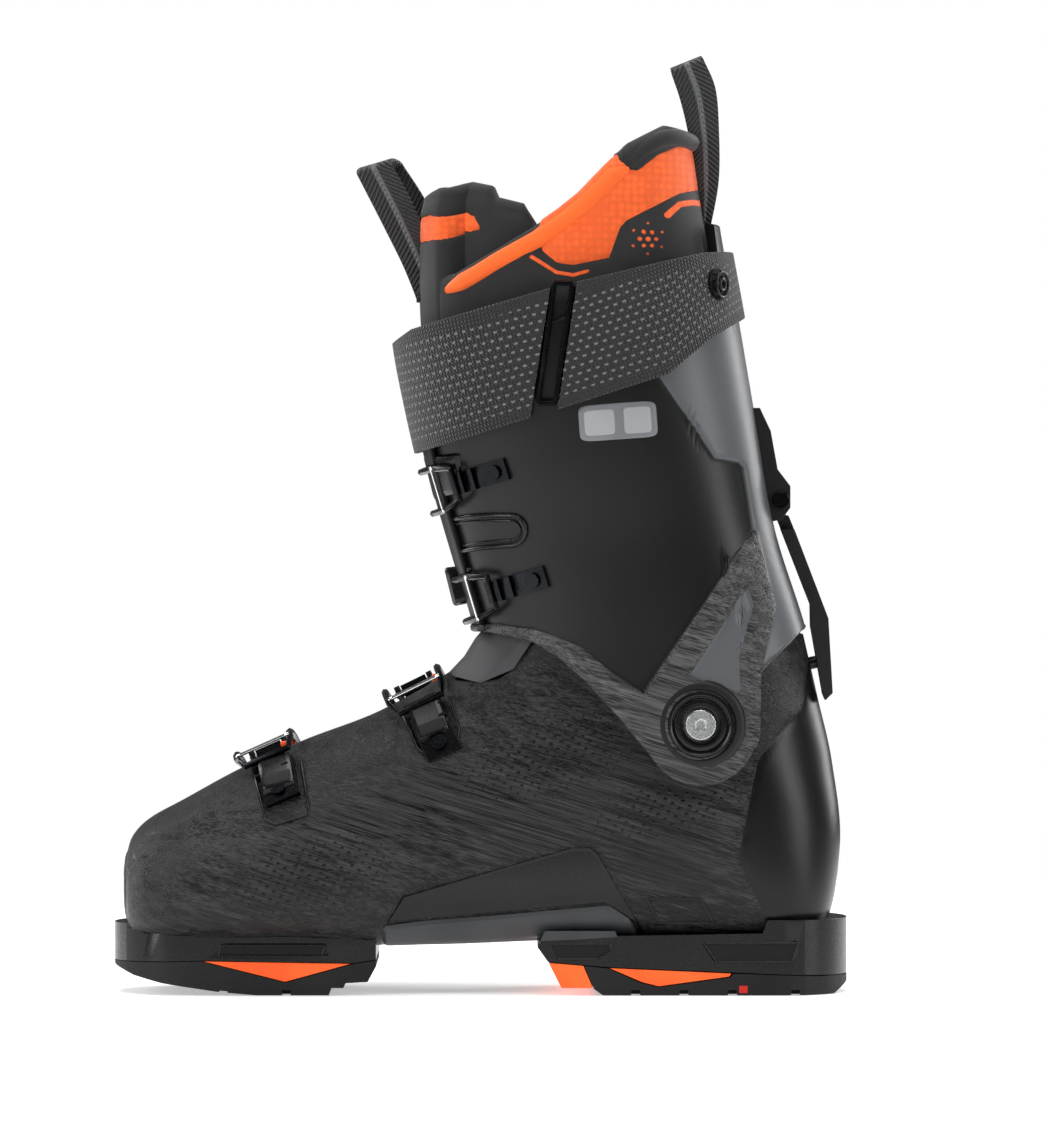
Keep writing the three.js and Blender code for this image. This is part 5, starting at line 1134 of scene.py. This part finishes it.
def lozenge(name, centre, half, material, body, power=4.0, slot=None):
    """A rounded block: a superellipsoid, |x/a|^p + |y/b|^p + |z/c|^p = 1, on a grid of two angles."""
    u, v = np.linspace(-math.pi, math.pi, 29)[:-1], np.linspace(-HALF, HALF, 15)[1:-1]
    bend = lambda c: np.sign(c) * np.abs(c) ** (2 / power)
    x, y, z = bend(np.cos(v))[:, None] * bend(np.cos(u)), bend(np.cos(v))[:,
        None] * bend(np.sin(u)), bend(np.sin(v))[:, None] + 0 * u
    points = np.array(centre) + np.stack([x * half[0], y * half[1], z * half[2]], -1)
    index = np.arange(13 * 28).reshape(13, 28)
    index = np.concatenate([index, index[:, :1]], 1)
    faces = quads(index).tolist() + [index[0, :-1][::-1].tolist(), index[-1, :-1].tolist()]
    return piece(name, points, faces, material, body, (), slot, sharp=50)


def bail_bar(name, back, thick):
    """A polished cross bar between a bail's two arms, a distance back from its medial end."""
    points = node_points(name)
    tip = points[points[:, 1] < points[:, 1].min() + 3.2]
    wide = np.linalg.svd(tip - tip.mean(0), full_matrices=False)[2][0]
    share = (points - tip.mean(0)) @ wide
    ends = []
    for arm in (share < share.min() + 2.6, share > share.max() - 2.6):
        run = points[arm & (points[:, 1] < 0)]
        order = np.argsort(run[:, 1])
        ends.append([np.interp(points[:, 1].min() + back, run[order, 1], run[order, k]) for k in range(3)])
    rod, faces = tube(np.linspace(ends[0], ends[1], 12), thick, 12)
    piece(name + "_bar", rod, faces, bright_alloy, body_of[name], (), "steel_hardware", sharp=None)


for name, back, thick in (("toe_bail", 4.5, 0.75), ("instep_bail", 5.0, 0.85), ("lower_cuff_bail", 4.0, 0.7),
    ("upper_cuff_bail", 4.0, 0.7)):
    bail_bar(name, back, thick)
for name, low, top, slot_low, slot_top, rim in (
    ("instep", [(-25.2, 102.8), (-11.6, 107.8)], [(-30.4, 116), (-16, 121.4)], [(-24.2, 104.8), (-13, 108.8)],
        [(-25.6, 108.6), (-14.4, 112.8)],
     [(-13.1, 122.6), (-8.6, 110.3), (-9.4, 104.6), (-23, 99.6), (-25.8, 102.1), (-32, 115.2)]),
    ("toe", [(-88.8, 81.6), (-75.2, 85.6)], [(-92, 93.2), (-77.4, 98)], [(-88, 83.6), (-76.6, 87)],
        [(-88.8, 87.2), (-77.4, 90.8)],
     [(-93.5, 91.8), (-88.2, 73), (-84, 70.9), (-70.9, 75), (-70.5, 77.9), (-74.2, 97.6)]),
):
    plaque(name + "_ladder_cover", FOOT, low, top, MEDIAL, 4.4, gloss_plastic, "shell", "moulded_shell",
        (24, 24), 0.5, 1.4)
    plaque(name + "_ladder_slot", FOOT, slot_low, slot_top, MEDIAL, 4.55, shadow_plastic, "shell",
        "moulded_shell", (16, 10), -3.9, 0.5)
    line = along(rim, 90, smooth=False)
    points, faces = tube(skin(FOOT, line[:, 0], line[:, 1], MEDIAL, 0.05)[0], 0.5, 8)
    piece(name + "_ladder_recess", points, faces, gloss_plastic, "shell", (), "moulded_shell", sharp=None)
for name, shift, half in (("toe", (7.5, -3.0, 3.6), (3.2, 2.4, 1.3)),
    ("instep", (8.5, -3.0, 3.6), (1.9, 2.6, 2.0))):
    pin = node_points(name + "_lever_pin").mean(0)
    lozenge(name + "_lever_catch", pin + np.array(shift), half, orange_plastic, "shell")
for name, low, top in (("upper_cuff", [(-19, 204.6), (-7, 207)], [(-23.5, 222.5), (-8.5, 223.5)]),
    ("lower_cuff", [(-11, 160.4), (-1.5, 162.6)], [(-14.8, 175.6), (-3.2, 177)])):
    plaque(name + "_hook_pad", LEG, low, top, MEDIAL, 2.2, gloss_plastic, "cuff", "moulded_cuff", (18, 18),
        0.5, 1.2)


# ---------- sole details ----------
def sole_plate(name, outline, face, side, high, material, shrink=0.5):
    """A thin plate on the sole's flat side: the outline, the same outline drawn in by the height, and a
    flat cap."""
    ring = along(outline, 96, closed=True, smooth=False)
    middle = ring.mean(0)
    inner = middle + (ring - middle) * (1 - shrink / np.maximum(np.linalg.norm(ring - middle, axis=1), 1))[:,
        None]
    rows = [(ring, -0.4), (ring, high * 0.6), (inner, high)]
    points = np.stack([np.stack([r[:, 0], np.full(96, side * (face + h)), r[:, 1]], -1) for r, h in rows])
    index = np.arange(3 * 96).reshape(3, 96)
    index = np.concatenate([index, index[:, :1]], 1)
    faces = quads(index).tolist() + [index[0, :-1][::-1].tolist(), index[-1, :-1].tolist()]
    return piece(name, points, faces, material, "shell", (), "sole_block", sharp=30)


def sole_window(name, outline, face, side):
    """A slot in the sole: an unlit floor inside a rounded rim 0.9 mm wide that follows the outline."""
    sole_plate(name + "_floor", outline, face, side, 0.06, shadow_plastic, 0.1)
    ring = along(outline, 120, closed=True, smooth=False)
    path = np.stack([ring[:, 0], np.full(120, side * (face + 0.02)), ring[:, 1]], -1)
    points, faces = tube(path, 0.45, 8, closed=True)
    piece(name + "_rim", points, faces, sole_plastic, "shell", (), "sole_block", sharp=None)


for side, name in ((MEDIAL, "medial"), (LATERAL, "lateral")):
    sole_window(name + "_toe_slot", [(-108, 16.4), (-106.8, 20.8), (-63.6, 20.8), (-65.6, 16.2)], 34.5, side)
    sole_window(name + "_heel_window", [(31, 15), (28.6, 21), (53.2, 21.2), (54, 18.4), (48, 15)], 35.0, side)
    sole_window(name + "_heel_slot", [(92, 21.6), (131, 21.6), (128.6, 13.8), (97.4, 13.8)], 35.0, side)
    sole_plate(name + "_heel_frame", [(24.6, 22.4), (26.6, 26.6), (55.6, 26.6), (56.6, 24), (30, 22.6)], 35.0,
        side, 0.35, grey_plastic, 0.7)
    sole_plate(name + "_wear_mark", [(106.8, 1), (106.8, 4), (110.2, 4), (110.2, 1)], 35.0, side, 0.15,
        red_plastic, 0.2)
    disc = node_points(name + "_strap_rivet")
    axes = np.linalg.svd(disc - disc.mean(0), full_matrices=False)[2]
    out = axes[2] * np.sign(axes[2][1]) * side
    face = disc.mean(0) + out * ((disc - disc.mean(0)) @ out).max()
    a = np.linspace(0, 2 * math.pi, 64, endpoint=False)[:, None]
    for tag, reach, thick in (("rim", 5.2, 0.55), ("eye", 2.3, 0.7)):
        points, faces = tube(face + (np.cos(a) * axes[0] + np.sin(a) * axes[1]) * reach, thick, 10, closed=True)
        piece(name + "_strap_rivet_" + tag, points, faces, gloss_plastic, body_of[name + "_strap_rivet"], (),
            "moulded_shell", sharp=None)


# ---------- every other solid keeps its shape, with rounded edges ----------
FINISHES = {
    "instep_flap": soft_plastic, "boot_board": white_plastic, "liner_foot": black_cloth, "footbed": grey_cloth,
    "tongue_lower": black_cloth, "medial_pivot_screw": steel, "lateral_pivot_screw": steel,
    "toe_ladder_rivet": black_alloy, "instep_ladder_rivet": black_alloy, "toe_sole": sole_plastic,
        "toe_tread_insert": orange_plastic, "toe_tread": tread_rubber, "heel_sole": sole_plastic,
    "heel_tread_insert": orange_plastic, "heel_front_pad": orange_plastic, "heel_tread": tread_rubber,
    "strap_ring": black_alloy, "cuff_loop": coated_wire, "link_bracket": matt_plastic, "link_bolt": black_alloy,
    "link_stud": black_alloy, "rear_link": tread_rubber, "medial_strap_rivet": gloss_plastic,
        "lateral_strap_rivet": gloss_plastic,
}
done = {n for o in bpy.data.objects for n in o.get("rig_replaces", [])}
for node_name in frame["nodes"]:
    if node_name in done:
        continue
    finish = FINISHES.get(node_name)
    if finish is None:
        finish = steel if "screw" in node_name else bright_alloy if "pin" in node_name else black_alloy
    softened(node_name, 0.35, finish)
# the soft flap and the tongue under it each get a copy of their mesh of their own
for soft in ("instep_flap_finish", "tongue_lower_finish"):
    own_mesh(bpy.data.objects[soft])

# ---------- studio ----------
def studio():
    """A pale round floor, a pale sky that lights softly from all round, and six large soft lights."""
    floor = bpy.data.objects.new("floor", bpy.data.meshes.new("floor"))
    a = np.linspace(0, 2 * math.pi, 96, endpoint=False)
    floor.data.from_pydata(np.stack([0.95 * np.cos(a), 0.95 * np.sin(a), 0 * a - 0.0002], -1).tolist(), [],
        [list(range(96))])
    made, tree, shader = material("pale_studio_floor", Roughness=0.6, IOR=1.4, Emission_Color=(1, 1, 1, 1),
        Emission_Strength=0.42)
    grain = spread(tree, (3, 3, 3), detail=2)
    feed(tree, shader, Base_Color=mixed(tree, grain, "#f6f6f6", "#fafafa"))
    floor.data.materials.append(made)
    bpy.context.scene.collection.objects.link(floor)
    world = bpy.data.worlds.new("studio")
    bpy.context.scene.world = world
    world.use_nodes = True
    tree = world.node_tree
    sky = next(n for n in tree.nodes if n.type == "BACKGROUND")
    sky.inputs["Color"].default_value = (1, 1, 1, 1)
    sky.inputs["Strength"].default_value = 0.12
    seen = add(tree, "Background", {"Color": (1, 1, 1, 1), "Strength": 1.0})
    pick = add(tree, "MixShader", {0: add(tree, "LightPath").outputs["Is Camera Ray"], 1: sky.outputs[0],
        2: seen.outputs[0]})
    tree.links.new(pick.outputs[0], next(n for n in tree.nodes if n.type == "OUTPUT_WORLD").inputs[0])
    aim = Vector((0, 0, 0.17))
    for name, spot, wide, high, power in (
        ("key_left", (-1.75, -1.15, 0.85), 0.9, 1.3, 26),
        ("top", (-0.1, 0.0, 1.9), 1.5, 1.2, 27),
        ("side_right", (1.75, -0.75, 0.75), 0.5, 1.4, 17),
        ("back_left", (-1.3, 1.0, 0.9), 0.4, 1.4, 10),
        ("back_right", (1.3, 1.1, 0.8), 0.5, 1.4, 14),
        ("front_fill", (0.2, -1.7, 2.3), 1.4, 0.6, 16),
    ):
        light = bpy.data.lights.new(name, "AREA")
        light.shape, light.size, light.size_y, light.energy = "RECTANGLE", wide, high, power
        obj = bpy.data.objects.new(name, light)
        obj.location = spot
        obj.rotation_euler = (aim - Vector(spot)).to_track_quat("-Z", "Y").to_euler()
        bpy.context.scene.collection.objects.link(obj)


studio()
camera = bpy.data.objects.new("camera", bpy.data.cameras.new("camera"))
camera.data.sensor_width = 36
camera.data.lens = 36 * 3.05 / 0.4649
camera.data.clip_end = 50
camera.location = (0.0172, -3.1, 0.1763 + 0.03)
camera.rotation_euler = (math.radians(90) - 0.03 / 3.1, 0, 0)
bpy.context.scene.collection.objects.link(camera)
bpy.context.scene.camera = camera
bpy.context.scene.view_settings.view_transform = "Standard"
